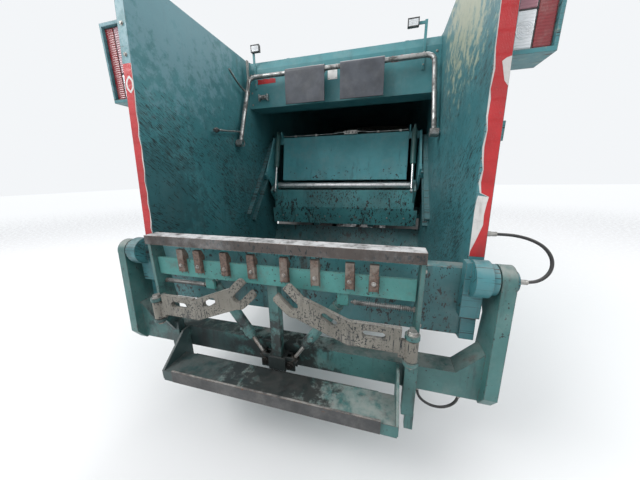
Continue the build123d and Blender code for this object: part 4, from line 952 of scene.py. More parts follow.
@dataclass
class TailgateTrim(Trim):
    """Tape, lamp sections, bolts and weld beads of the tailgate."""

    # columns: height, inner border of the red film
    left_border: tuple[Flat, ...] = (
        (1.302, 1.004), (1.36, 1.016), (1.40, 1.010), (1.47, 1.006), (1.53, 1.015), (1.60, 1.007),
        (1.68, 1.016), (1.75, 1.008), (1.83, 1.012), (1.90, 1.005), (1.97, 1.018), (2.04, 1.008),
        (2.12, 1.012), (2.20, 1.006), (2.30, 1.003), (2.40, 1.004))
    right_border: tuple[Flat, ...] = (
        (1.303, 1.002), (1.33, 1.004), (1.386, 1.023), (1.461, 1.045), (1.509, 1.043), (1.566, 1.049),
        (1.594, 1.054), (1.612, 1.020), (1.66, 1.013), (1.72, 1.017), (1.76, 1.012), (1.82, 1.008),
        (1.89, 1.013), (1.95, 1.007), (2.02, 1.010), (2.06, 1.004), (2.14, 1.012), (2.22, 1.004),
        (3.04, 1.003))
    border_out: float = 1.068
    wall_edge: float = 1.0005
    ring_middle: Flat = (1.030, 2.280)
    film: float = 0.0009
    torn_patch: tuple[Flat, ...] = (
        (1.0685, 2.066), (1.052, 2.088), (1.042, 2.131), (1.034, 2.165), (1.048, 2.176), (1.0685, 2.182))
    # columns: name, inner and outer edge, bottom, top, finish
    lenses: tuple[tuple[str, float, float, float, float, str], ...] = (
        ("outer", 1.164, 1.231, 2.225, 2.635, "lamp_red"),
        # the upper section carries painted light: the red lens coloured as if sunlit
        ("upper", 1.089, 1.158, 2.376, 2.635, "lamp_red_painted_sunlit"),
        ("lower", 1.089, 1.158, 2.225, 2.370, "lamp_clear"))
    lens_y: float = 0.150
    lens_thick: float = 0.014
    ribs: Flat = (TAIL + 0.62, TAIL + 1.32)
    rib_half: float = 0.045

    def build(self) -> None:
        """Builds every piece of trim."""
        for side_name, side in SIDES:
            self._tape(side_name, side)
            self._lenses(side_name, side)
            self._fixings(side_name, side)

    def _tape(self, side_name: str, side: int) -> None:
        """Reflective film on the leaning rear edge, its inner border torn down to white.

        Args:
            side_name: left or right.
            side: -1 or 1, the sign of its X.
        """
        def place(across: float, up: float, out: float) -> Point:
            """Turns across, up and outward into a point over the leaning edge."""
            return side * across, TAIL + REAR_LEAN * (up - LEAN_Z) - out, up

        border = self.left_border if side < 0 else self.right_border
        outer = [(self.border_out, border[-1][0]), (self.border_out, border[0][0])]
        inner = [(max(self.wall_edge, x - 0.004 - 0.003 * (k % 3)), z) for k, (z, x) in enumerate(border)]
        white, red, chip = bmesh.new(), bmesh.new(), bmesh.new()
        if side > 0:
            inner[1:6] = [(self.wall_edge, 1.34), (self.wall_edge, 1.42), (self.wall_edge, 1.53),
                          (1.004, 1.58), (1.008, 1.60)]
            put_plate(chip, list(self.torn_patch), place, self.film, 2 * self.film)
        else:
            x, z = self.ring_middle
            ring = [(x + 0.031 * math.cos(a), z + 0.047 * math.sin(a) + 0.004 * math.sin(5 * a))
                    for a in (math.pi * k / 9 for k in range(18))]
            core = [(x + (a - x) * 0.62, z + (b - z) * 0.70) for a, b in ring]
            for index in range(len(ring)):
                after = (index + 1) % len(ring)
                put_plate(chip, [ring[index], ring[after], core[after], core[index]], place, self.film,
                          2 * self.film)
        put_plate(white, inner + outer, place, self.film)
        put_plate(red, [(x, z) for z, x in border] + outer, place, self.film, self.film)
        self.add(f"tape_{side_name}", red, "tape_red")
        self.add(f"tape_torn_{side_name}", white, "tape_white")
        self.add(f"tape_chip_{side_name}", chip, "tape_white")

    def _lenses(self, side_name: str, side: int) -> None:
        """Lamp sections in a gasket over the lamp block, the lower one with a round reflector.

        Args:
            side_name: left or right.
            side: -1 or 1, the sign of its X.
        """
        front = TAIL + self.lens_y
        for name, inner, outer, bottom, top, look in self.lenses:
            shape = bmesh.new()
            put_box(shape, (side * (inner + outer) / 2, front - self.lens_thick / 2, (bottom + top) / 2),
                    (outer - inner, self.lens_thick, top - bottom), 0.004)
            if look == "lamp_clear":
                for radius in (0.032, 0.025, 0.018, 0.011):
                    put_ring(shape, (side * (inner + outer) / 2, front - self.lens_thick, (bottom + top) / 2),
                             BACK, radius, 0.002)
            self.add(f"lens_{name}_{side_name}", shape, look)
        gasket = bmesh.new()
        for z in (2.2225, 2.373, 2.6375):
            put_box(gasket, (side * 1.160, front - 0.006, z), (0.146, 0.012, 0.0045), 0.001)
        for x in (1.087, 1.161, 1.233):
            put_box(gasket, (side * x, front - 0.006, 2.430), (0.0045, 0.012, 0.414), 0.001)
        self.add(f"lens_gasket_{side_name}", gasket, "black_rubber")

    def _fixings(self, side_name: str, side: int) -> None:
        """Bolts of the lamp housing, the rear edge and the ribs, and beads along the ribs.

        Args:
            side_name: left or right.
            side: -1 or 1, the sign of its X.
        """
        bolts = bmesh.new()
        for z in (2.25, 2.43, 2.61):
            put_bolt(bolts, (side * 1.25, TAIL + 0.21, z), (side, 0, 0), 0.008)
        for z in (2.45, 2.62, 2.80, 2.96):
            if side < 0:
                put_bolt(bolts, (side * 1.035, TAIL + REAR_LEAN * (z - LEAN_Z), z), BACK, 0.009)
        for y in self.ribs:
            for z in (1.0, 1.3, 2.1, 2.4):
                put_bolt(bolts, (side * 1.12, y, z), (side, 0, 0), 0.010)
        self.add(f"tailgate_bolts_{side_name}", bolts, "bolt_steel")
        beads = bmesh.new()
        x = side * WALL_OUT
        for y in self.ribs:
            for edge in (y - self.rib_half, y + self.rib_half):
                for low, high in ((0.92, 1.84), (1.96, 2.58)):
                    put_bead(beads, (x, edge, low), (x, edge, high))
        self.add(f"tailgate_beads_{side_name}", beads, "teal_paint", smooth=True)


@dataclass
class BeamTrim(Trim):
    """Stripes, blank label, bolts, work lamps and ribbed roller on the top beam."""

    face_y: float = TAIL + 1.5
    # columns: left, right, bottom, top
    stripes: tuple[tuple[float, float, float, float], ...] = (
        (0.560, 0.800, 2.752, 2.806), (-0.880, -0.665, 2.700, 2.752))
    label: tuple[float, float, float, float] = (-0.074, 0.026, 2.668, 2.790)
    # columns: lamp middle X, bracket X
    lamps: tuple[Flat, ...] = ((-0.870, -0.905), (0.735, 0.848))
    lamp_y: float = TAIL + 1.465
    lamp_z: float = 3.035
    roller_z: float = 2.560

    def build(self) -> None:
        """Builds every piece of trim."""
        def place(across: float, up: float, out: float) -> Point:
            """Turns across, up and outward into a point on the beam's face."""
            return across, self.face_y - out, up

        for index, (left, right, bottom, top) in enumerate(self.stripes):
            shape = bmesh.new()
            ragged = [(left + (right - left) * k / 8, top - 0.004 * (k % 3)) for k in range(8, -1, -1)]
            put_plate(shape, [(left, bottom), (right, bottom + 0.003)] + ragged, place, 0.001)
            self.add(f"beam_stripe_{index}", shape, "tape_red")
        left, right, bottom, top = self.label
        shape = bmesh.new()
        put_box(shape, ((left + right) / 2, self.face_y - 0.001, (bottom + top) / 2),
                (right - left, 0.002, top - bottom), 0.0008)
        self.add("blank_label", shape, "label_white")
        bolts = bmesh.new()
        for x in (left + 0.012, right - 0.012):
            for z in (bottom + 0.012, top - 0.012):
                put_round(bolts, (x, self.face_y - 0.002, z), BACK, 0.0045, 0.002, 16, 0.003)
        for _, x in self.lamps:
            for z in (2.70, 2.80):
                put_bolt(bolts, (x, self.face_y - 0.012, z), BACK, 0.006)
        for x in (-0.96, 0.96):
            for z in (2.50, 2.62, 2.80):
                put_bolt(bolts, (x, self.face_y, z), BACK, 0.008)
        self.add("beam_bolts", bolts, "bolt_steel")
        for index, (x, bracket) in enumerate(self.lamps):
            self._lamp(index, x, bracket)
        self._roller()

    def _lamp(self, index: int, x: float, bracket: float) -> None:
        """One work lamp on a flat bracket: case, frame, lens and cooling ribs behind.

        Args:
            index: its number.
            x: middle of the lamp.
            bracket: middle of its upright.
        """
        front, z = self.lamp_y, self.lamp_z
        arm, case, lens = bmesh.new(), bmesh.new(), bmesh.new()
        put_box(arm, (bracket, self.face_y - 0.006, 2.855), (0.024, 0.012, 0.400), 0.001)
        put_box(arm, ((bracket + x) / 2, self.face_y - 0.006, z), (abs(bracket - x), 0.010, 0.024), 0.001)
        put_box(case, (x, front + 0.014, z), (0.100, 0.028, 0.070), 0.004)
        for dz in (-0.031, 0.031):
            put_box(case, (x, front - 0.003, z + dz), (0.100, 0.006, 0.008), 0.001)
        for dx in (-0.046, 0.046):
            put_box(case, (x + dx, front - 0.003, z), (0.008, 0.006, 0.070), 0.001)
        for step in range(7):
            put_box(case, (x - 0.042 + 0.014 * step, front + 0.034, z), (0.004, 0.012, 0.062), 0.0008)
        put_box(lens, (x, front - 0.0015, z), (0.084, 0.003, 0.054), 0.001)
        for step in range(4):
            put_ring(lens, (x - 0.030 + 0.020 * step, front - 0.003, z), BACK, 0.007, 0.001, 16)
        self.add(f"work_lamp_bracket_{index}", arm, "teal_paint")
        self.add(f"work_lamp_frame_{index}", case, "dark_plastic")
        self.add(f"work_lamp_lens_{index}", lens, "lamp_clear")

    def _roller(self) -> None:
        """Ribbed roller on its bracket at the beam's left end."""
        y, z = self.face_y, self.roller_z
        shape = bmesh.new()
        for x in (-0.862, -0.762):
            put_box(shape, (x, y - 0.020, z), (0.012, 0.040, 0.070), 0.002)
        put_round(shape, (-0.868, y - 0.030, z), RIGHT, 0.010, 0.112, 16)
        for step in range(3):
            put_round(shape, (-0.850 + 0.026 * step, y - 0.030, z), RIGHT, 0.024, 0.020, 20, round_by=0.003)
        self.add("ribbed_roller", shape, "pipe_steel")


@dataclass
class StopTrim(Trim):
    """Lever, hook and pull handle on the bin stop's left leg."""

    body: str = Body.BIN_STOP.value
    leg_x: float = -0.950
    # the handle's slope and its end
    slope: Point = (0, -0.993, -0.115)
    # columns: y from the tail, z
    hook: tuple[Flat, ...] = ((1.350, 2.590), (1.262, 2.606), (1.160, 2.650), (1.066, 2.712))
    handle: tuple[Flat, ...] = ((1.200, 2.168), (1.100, 2.155), (0.800, 2.122))
    lever: tuple[Flat, ...] = (
        (1.325, 2.560), (1.360, 2.560), (1.378, 2.700), (1.385, 2.890), (1.350, 2.890), (1.340, 2.700))

    def build(self) -> None:
        """Builds every piece of trim."""
        x = self.leg_x
        self.tube("stop_hook", [(x, TAIL + y, z) for y, z in self.hook], 0.010, "pipe_steel", fine=6)
        self.tube("stop_handle", [(x, TAIL + y, z) for y, z in self.handle], 0.009, "pipe_steel", fine=3)
        shape = bmesh.new()
        put_round(shape, (x, TAIL + 0.800, 2.122), self.slope, 0.015, 0.060, 24, round_by=0.006)
        put_round(shape, (x, TAIL + 0.780, 2.120), self.slope, 0.022, 0.020, 24, round_by=0.006)
        self.add("stop_grip", shape, "black_rubber")
        lever = bmesh.new()

        def place(along: float, up: float, out: float) -> Point:
            """Turns along, up and outward into a point beside the leg."""
            return x + 0.025 + out, TAIL + along, up

        put_plate(lever, list(self.lever), place, 0.012)
        put_round(lever, (x + 0.015, TAIL + 1.343, 2.590), RIGHT, 0.016, 0.030, 6)
        self.add("stop_lever", lever, "bolt_steel")


@dataclass
class Hoses(Trim):
    """Two hydraulic hoses in their fittings, hanging free at the lifter."""

    radius: float = 0.0075
    # columns: x, y from the tail, z
    hub_route: tuple[Point, ...] = (
        (1.203, -0.060, 1.215), (1.250, -0.060, 1.215), (1.293, -0.055, 1.236), (1.320, -0.046, 1.276),
        (1.322, -0.032, 1.326), (1.298, -0.010, 1.372), (1.252, 0.014, 1.400), (1.196, 0.036, 1.412),
        (1.140, 0.050, 1.412), (1.090, 0.050, 1.412))
    tube_route: tuple[Point, ...] = (
        (0.818, -0.050, 0.530), (0.818, -0.050, 0.470), (0.850, -0.050, 0.424), (0.902, -0.050, 0.398),
        (0.960, -0.050, 0.400), (1.008, -0.050, 0.432), (1.034, -0.050, 0.482), (1.034, -0.050, 0.530))

    def build(self) -> None:
        """Builds both hoses and their ferrules."""
        self._hose("hub_hose", self.hub_route, Body.TAILGATE.value)
        self._hose("tube_hose", self.tube_route, Body.LIFTER.value)

    def _hose(self, stem: str, route: tuple[Point, ...], body: str) -> None:
        """One hose with a crimped ferrule and a nut at each end.

        Args:
            stem: start of its pieces' names.
            route: its points, Y counted from the tail.
            body: the CAD body that carries it.
        """
        points = [(x, TAIL + y, z) for x, y, z in route]
        hose = self.tube(f"{stem}_rubber", points, self.radius, "hose_rubber", body, fine=6)
        for index, (end, after) in enumerate(((points[0], points[1]), (points[-1], points[-2]))):
            ahead = (Vector(after) - Vector(end)).normalized()
            shape = bmesh.new()
            put_round(shape, end, ahead, 0.0115, 0.030, 20, round_by=0.001)
            for step in range(4):
                groove = Vector(end) + ahead * (0.006 + 0.006 * step)
                put_ring(shape, groove, ahead, 0.0112, 0.0009, 20)
            put_round(shape, Vector(end) - ahead * 0.026, ahead, 0.0135, 0.031, 6)
            self.add(f"{stem}_ferrule_{index}", shape, "bolt_steel", body)

    @staticmethod
    def _span(points: list[Point], index: int) -> float:
        """Length of one piece of the smooth line through the middles of the route's runs.

        Args:
            points: the route.
            index: which run.

        Returns:
            Its share of the line's length.
        """
        run = (Vector(points[index + 1]) - Vector(points[index])).length
        return run * (1.0 if index in (0, len(points) - 2) else 0.975)


@dataclass
class LifterTrim(Trim):
    """Springs, weld beads and bolts of the lifter and its comb."""

    body: str = Body.LIFTER.value
    teeth: tuple[float, ...] = (-0.553, -0.438, -0.262, -0.095, 0.095, 0.262, 0.438, 0.553)
    spring: tuple[float, float, float, float] = (0.462, 0.738, -0.160, 1.065)
    spring_radius: float = 0.013
    spring_turns: int = 32
    hook_pin: Flat = (0.738, TAIL - 0.262)
    ram_head: Point = (0.400, TAIL - 0.140, 1.075)
    ram_foot: Point = (0.080, TAIL - 0.140, 0.600)
    pivot: Point = (1.165, TAIL - 0.060, 1.215)
    pivot_bolts: float = 0.058
    tooth_half: float = 0.0225
    tooth_back: float = TAIL - 0.2005

    def build(self) -> None:
        """Builds every piece of trim."""
        for side_name, side in SIDES:
            self._spring(side_name, side)
            self._hub(side_name, side)
            self._ram(side_name, side)
        self._comb_bolts()
        self._frame_bolts()
        self._beads()

    def _spring(self, side_name: str, side: int) -> None:
        """Coil spring round its guide rod, which stands on the end plate.

        Args:
            side_name: left or right.
            side: -1 or 1, the sign of its X.
        """
        start, end, y, z = self.spring
        y += TAIL
        steps = self.spring_turns * 6
        route = []
        for step in range(steps + 1):
            angle = math.pi * step / 3
            route.append((side * (start + (end - start) * step / steps),
                          y + self.spring_radius * math.cos(angle), z + self.spring_radius * math.sin(angle)))
        self.tube(f"spring_{side_name}", route, 0.0024, "pipe_steel", fine=2)
        rod = bmesh.new()
        for x, radius, length, sides in ((0.753, 0.0065, 0.315, 16), (0.462, 0.016, 0.004, 20),
                                         (0.458, 0.010, 0.010, 6), (0.753, 0.015, 0.012, 6)):
            put_round(rod, (side * x, y, z), (-side, 0, 0), radius, length, sides)
        self.add(f"spring_rod_{side_name}", rod, "bolt_steel")

    def _hub(self, side_name: str, side: int) -> None:
        """Nuts and washers at both ends of the hook arm's pin.

        Args:
            side_name: left or right.
            side: -1 or 1, the sign of its X.
        """
        shape = bmesh.new()
        for z, direction, thick in ((0.995, UP, 0.014), (0.835, DOWN, 0.012)):
            seat = Vector((side * self.hook_pin[0], self.hook_pin[1], z))
            put_round(shape, seat, direction, 0.026, 0.004, 24)
            put_round(shape, seat + Vector(direction) * 0.004, direction, 0.021, thick, 6)
        self.add(f"hook_pin_nuts_{side_name}", shape, "bolt_steel")

    def _ram(self, side_name: str, side: int) -> None:
        """Thick jacket, gland and oily clevis round one slender CAD ram of the comb.

        Args:
            side_name: left or right.
            side: -1 or 1, the sign of its X.
        """
        head, foot = (Vector((side * x, y, z)) for x, y, z in (self.ram_head, self.ram_foot))
        along = (foot - head).normalized()
        jacket = bmesh.new()
        put_round(jacket, head + along * 0.060, along, 0.031, 0.300, 32)
        put_round(jacket, head + along * 0.360, along, 0.0335, 0.024, 32, round_by=0.002)
        for share in (0.120, 0.320):
            put_round(jacket, head + along * share - Vector((0, 0.031, 0)), BACK, 0.012, 0.014, 6)
        self.add(f"comb_ram_jacket_{side_name}", jacket, "teal_lifter", f"comb_barrel_{side_name}")
        clevis = bmesh.new()
        put_round(clevis, foot - along * 0.052, along, 0.026, 0.034, 24)
        put_round(clevis, foot + Vector((0, 0.012, 0)), BACK, 0.031, 0.024, 28)
        self.add(f"comb_ram_clevis_{side_name}", clevis, "oily_steel", f"comb_rod_{side_name}")
        pin = bmesh.new()
        put_round(pin, foot - Vector((0, 0.025, 0)), BACK, 0.024, 0.010, 24)
        put_round(pin, foot - Vector((0, 0.035, 0)), BACK, 0.015, 0.012, 6)
        self.add(f"comb_ram_pin_{side_name}", pin, "oily_steel")

    def _comb_bolts(self) -> None:
        """A bolt in each tooth's recess, and the beads down both sides of each tooth."""
        shape, beads = bmesh.new(), bmesh.new()
        for x in self.teeth:
            put_bolt(shape, (x, TAIL - 0.222, 1.205), BACK, 0.0085)
            for edge in (x - self.tooth_half, x + self.tooth_half):
                put_bead(beads, (edge, self.tooth_back, 1.150), (edge, self.tooth_back, 1.232), 0.0035)
        self.add("comb_bolts", shape, "bolt_steel", Body.COMB.value)
        self.add("comb_beads", beads, "comb_paint", Body.COMB.value, smooth=True)

    def _frame_bolts(self) -> None:
        """Bolts of the step lip, end plates and pivots."""
        shape = bmesh.new()
        for x in (-0.58, -0.36, -0.12, 0.12, 0.36, 0.58):
            put_round(shape, (x, TAIL - 0.3595, 0.535), BACK, 0.009, 0.0005, 20, 0.0085)
        for side in (-1, 1):
            for y, z in ((-0.190, 0.80), (-0.130, 0.80), (-0.200, 1.28), (-0.190, 1.00)):
                put_bolt(shape, (side * 0.772, TAIL + y, z), (side, 0, 0), 0.009)
            for step in range(6):
                a = math.pi * step / 3
                x, y, z = self.pivot
                y, z = y + self.pivot_bolts * math.cos(a), z + self.pivot_bolts * math.sin(a)
                put_bolt(shape, (side * x, y, z), (side, 0, 0), 0.006)
        self.add("lifter_bolts", shape, "bolt_steel")

    def _beads(self) -> None:
        """Weld beads at the foot of the posts, on both sides of the middle web and under the tray."""
        shape = bmesh.new()
        for side in (-1, 1):
            for x in (0.7295, 0.7945):
                put_bead(shape, (side * x, TAIL - 0.107, 0.555), (side * x, TAIL - 0.107, 0.695))
            put_bead(shape, (side * 0.030, TAIL - 0.127, 0.71), (side * 0.030, TAIL - 0.127, 1.10), 0.003)
        put_bead(shape, (-0.60, TAIL - 0.170, 0.5405), (0.60, TAIL - 0.170, 0.5405), 0.004)
        self.add("lifter_beads", shape, "teal_lifter", smooth=True)


@dataclass
class PackerTrim(Trim):
    """Worn shaft, manifold, pipes and blade bolts of the packer."""

    body: str = Body.CARRIAGE.value
    shaft: Flat = (1.890, 1.580)
    shaft_half: float = 0.868
    shaft_radius: float = 0.0395
    manifold: Point = (0.110, TAIL + 1.962, 2.222)
    ports: tuple[float, ...] = (0.050, 0.090, 0.130, 0.170)
    clips: tuple[float, ...] = (-0.62, -0.34, 0.44, 0.70)

    def build(self) -> None:
        """Builds every piece of trim."""
        self._shaft()
        self._pipes()
        self._bolts()

    def _shaft(self) -> None:
        """Bare steel sleeve over the blade's shaft, with end collars."""
        y, z = TAIL + self.shaft[0], self.shaft[1]
        shape = bmesh.new()
        put_round(shape, (-self.shaft_half, y, z), RIGHT, self.shaft_radius, 2 * self.shaft_half, 48)
        for side in (-1, 1):
            put_round(shape, (side * (self.shaft_half - 0.020), y, z), (side, 0, 0), 0.044, 0.018, 40,
                      round_by=0.002)
        self.add("shaft_sleeve", shape, "shaft_steel")

    def _pipes(self) -> None:
        """Manifold on the carriage's bar with steel pipes to both sides."""
        block = bmesh.new()
        middle, y, z = self.manifold
        put_box(block, self.manifold, (0.170, 0.046, 0.044), 0.003)
        for x in self.ports:
            put_round(block, (x, y - 0.023, z), BACK, 0.010, 0.016, 6)
            put_round(block, (x, y - 0.039, z), BACK, 0.007, 0.010, 12)
        for side in (-1, 1):
            put_round(block, (middle + side * 0.085, y, z + 0.006), (side, 0, 0), 0.010, 0.020, 6)
        for x in self.clips:
            put_box(block, (x, y + 0.006, z - 0.010), (0.030, 0.034, 0.026), 0.002)
            put_bolt(block, (x, y + 0.006, z + 0.003), UP, 0.005)
        self.add("manifold", block, "bolt_steel")
        for side_name, side in SIDES:
            start = middle + side * 0.100
            route = [(start, y, z + 0.006), (start + side * 0.06, y, z + 0.006),
                     (start + side * 0.10, y, z - 0.006), (side * 0.50, y, z - 0.008),
                     (side * 0.74, y, z - 0.008), (side * 0.79, y - 0.004, z - 0.004)]
            self.tube(f"carriage_pipe_{side_name}", route, 0.006, "pipe_steel")

    def _bolts(self) -> None:
        """Bolts along the blade's wear strip."""
        y, z = self.shaft
        shape = bmesh.new()
        for x in [-0.80 + 0.2 * k for k in range(9)]:
            put_bolt(shape, (x, TAIL + y - 0.0653, z - 0.40), (0, -0.994, -0.105), 0.008)
        self.add("blade_bolts", shape, "bolt_steel", Body.BLADE.value)


@dataclass
class Wheels(Trim):
    """Tread blocks and wheel nuts on the CAD tyres and rims."""

    radius: float = 0.538
    pitches: int = 44
    rows: tuple[float, ...] = (-0.112, -0.056, 0.0, 0.056, 0.112)
    pitch_across: float = 0.056
    groove: float = 0.014
    depth: Flat = (0.010, 0.0005)
    block_share: float = 0.86
    skew: float = 1.5
    nuts: int = 10
    nut_circle: float = 0.1675
    centres: tuple[tuple[str, str, float, float, float], ...] = (
        # name, body, wheel middle X, axle Y, nut face X (outwards)
        ("front_left", "front_wheel_left", -1.010, 3.055, 1.114),
        ("front_right", "front_wheel_right", 1.010, 3.055, 1.114),
        ("rear_left_out", "rear_wheels_left", -1.095, -1.045, 0.934),
        ("rear_right_out", "rear_wheels_right", 1.095, -1.045, 0.934),
        ("rear_left_in", "rear_wheels_left", -0.745, -1.045, 0.0),
        ("rear_right_in", "rear_wheels_right", 0.745, -1.045, 0.0),
    )

    def build(self) -> None:
        """Builds tread and nuts of every wheel."""
        for name, body, x, y, nut_x in self.centres:
            self._tread(name, body, x, y)
            if nut_x:
                self._nuts(name, body, 1 if x > 0 else -1, nut_x, y)

    def _tread(self, name: str, body: str, x: float, y: float) -> None:
        """Low blocks round the tyre with grooves between them.

        Args:
            name: end of the piece's name.
            body: the CAD body of the wheel.
            x: middle of the tyre.
            y: its axle.
        """
        shape = bmesh.new()
        low, high = (self.radius - depth for depth in self.depth)
        for row, offset in enumerate(self.rows):
            wide = (self.pitch_across - self.groove) / 2
            skew = self.skew if offset > 0 else -self.skew
            for step in range(self.pitches):
                start = 2 * math.pi * (step + 0.5 * (row % 2)) / self.pitches
                span = 2 * math.pi / self.pitches * self.block_share
                corners = []
                for radius in (low, high):
                    for across in (-wide, wide):
                        for share in (0.0, 0.5, 1.0):
                            angle = start + span * share + across * skew
                            corners.append(shape.verts.new((x + offset + across, y + radius * math.sin(angle),
                                                            self.radius + radius * math.cos(angle))))
                a, b = corners[:6], corners[6:]
                faces = [(b[0], b[1], b[4], b[3]), (b[1], b[2], b[5], b[4]), (a[0], a[1], b[1], b[0]),
                         (a[1], a[2], b[2], b[1]), (a[3], b[3], b[4], a[4]), (a[4], b[4], b[5], a[5]),
                         (a[0], b[0], b[3], a[3]), (a[2], a[5], b[5], b[2]), (a[0], a[3], a[4], a[1]),
                         (a[1], a[4], a[5], a[2])]
                for face in faces:
                    shape.faces.new(face)
        self.add(f"tread_{name}", shape, "tyre", body)

    def _nuts(self, name: str, body: str, side: int, nut_x: float, y: float) -> None:
        """Ring of wheel nuts on washers, each with its stud.

        Args:
            name: end of the piece's name.
            body: the CAD body of the wheel.
            side: -1 or 1, the sign of its X.
            nut_x: distance of the nuts' seat from the middle plane.
            y: the axle.
        """
        shape = bmesh.new()
        for step in range(self.nuts):
            angle = 2 * math.pi * step / self.nuts
            seat = (side * nut_x, y + self.nut_circle * math.sin(angle),
                    self.radius + self.nut_circle * math.cos(angle))
            put_round(shape, seat, (side, 0, 0), 0.023, 0.008, 16)
            put_round(shape, seat, (side, 0, 0), 0.0165, 0.030, 6, 0.016)
            put_round(shape, seat, (side, 0, 0), 0.0105, 0.042, 12, round_by=0.002)
        self.add(f"nuts_{name}", shape, "bolt_steel", body)


@dataclass
class Seats(Trim):
    """Padded cushions in place of the plain seat blocks."""

    body: str = Body.CAB.value
    # columns: name, middle X, width
    places: tuple[tuple[str, float, float], ...] = (("driver", -0.52, 0.52), ("bench", 0.38, 1.0))

    def build(self) -> None:
        """Builds every cushion, back and pedestal."""
        first = None
        for name, x, width in self.places:
            seat = self._cushion(f"seat_cushion_{name}", (x, 3.320, 1.660), (width, 0.52, 0.14))
            back = self._cushion(f"seat_back_{name}", (x, 3.060, 2.010), (width, 0.12, 0.84))
            shape = bmesh.new()
            put_box(shape, (x, 3.300, 1.390), (width - 0.12, 0.38, 0.40), 0.02)
            base = self.add(f"seat_base_{name}", shape, "dark_plastic")
            first = first or base
        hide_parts("seats")

    def _cushion(self, name: str, middle: Point, size: Point) -> Piece:
        """One crowned cushion with a sewn channel line.

        Args:
            name: the piece's name.
            middle: its centre.
            size: its full lengths.

        Returns:
            The cushion.
        """
        shape = bmesh.new()
        put_box(shape, middle, size)
        bmesh.ops.subdivide_edges(shape, edges=shape.edges[:], cuts=9, use_grid_fill=True)
        thin = min(range(3), key=lambda axis: size[axis])
        for vert in shape.verts:
            share = [2 * (vert.co[axis] - middle[axis]) / size[axis] for axis in range(3)]
            others = [share[axis] for axis in range(3) if axis != thin]
            crown = max(0.0, (1 - others[0] ** 2) * (1 - others[1] ** 2))
            channel = sum(math.exp(-((others[0] - line) / 0.05) ** 2) for line in (-0.4, 0.0, 0.4))
            fall = 1 - 0.30 * (1 - crown ** 0.5) - 0.12 * channel * crown
            vert.co[thin] = middle[thin] + share[thin] * size[thin] / 2 * fall
            for axis in range(3):
                if axis != thin:
                    pull = 1 - 0.05 * (1 - abs(share[thin])) * abs(share[axis]) ** 3
                    vert.co[axis] = middle[axis] + (vert.co[axis] - middle[axis]) * pull
        piece = self.add(name, shape, "seat_cloth", smooth=True)
        smoother = piece.modifiers.new("soft", "SUBSURF")
        smoother.levels = smoother.render_levels = 1
        return piece


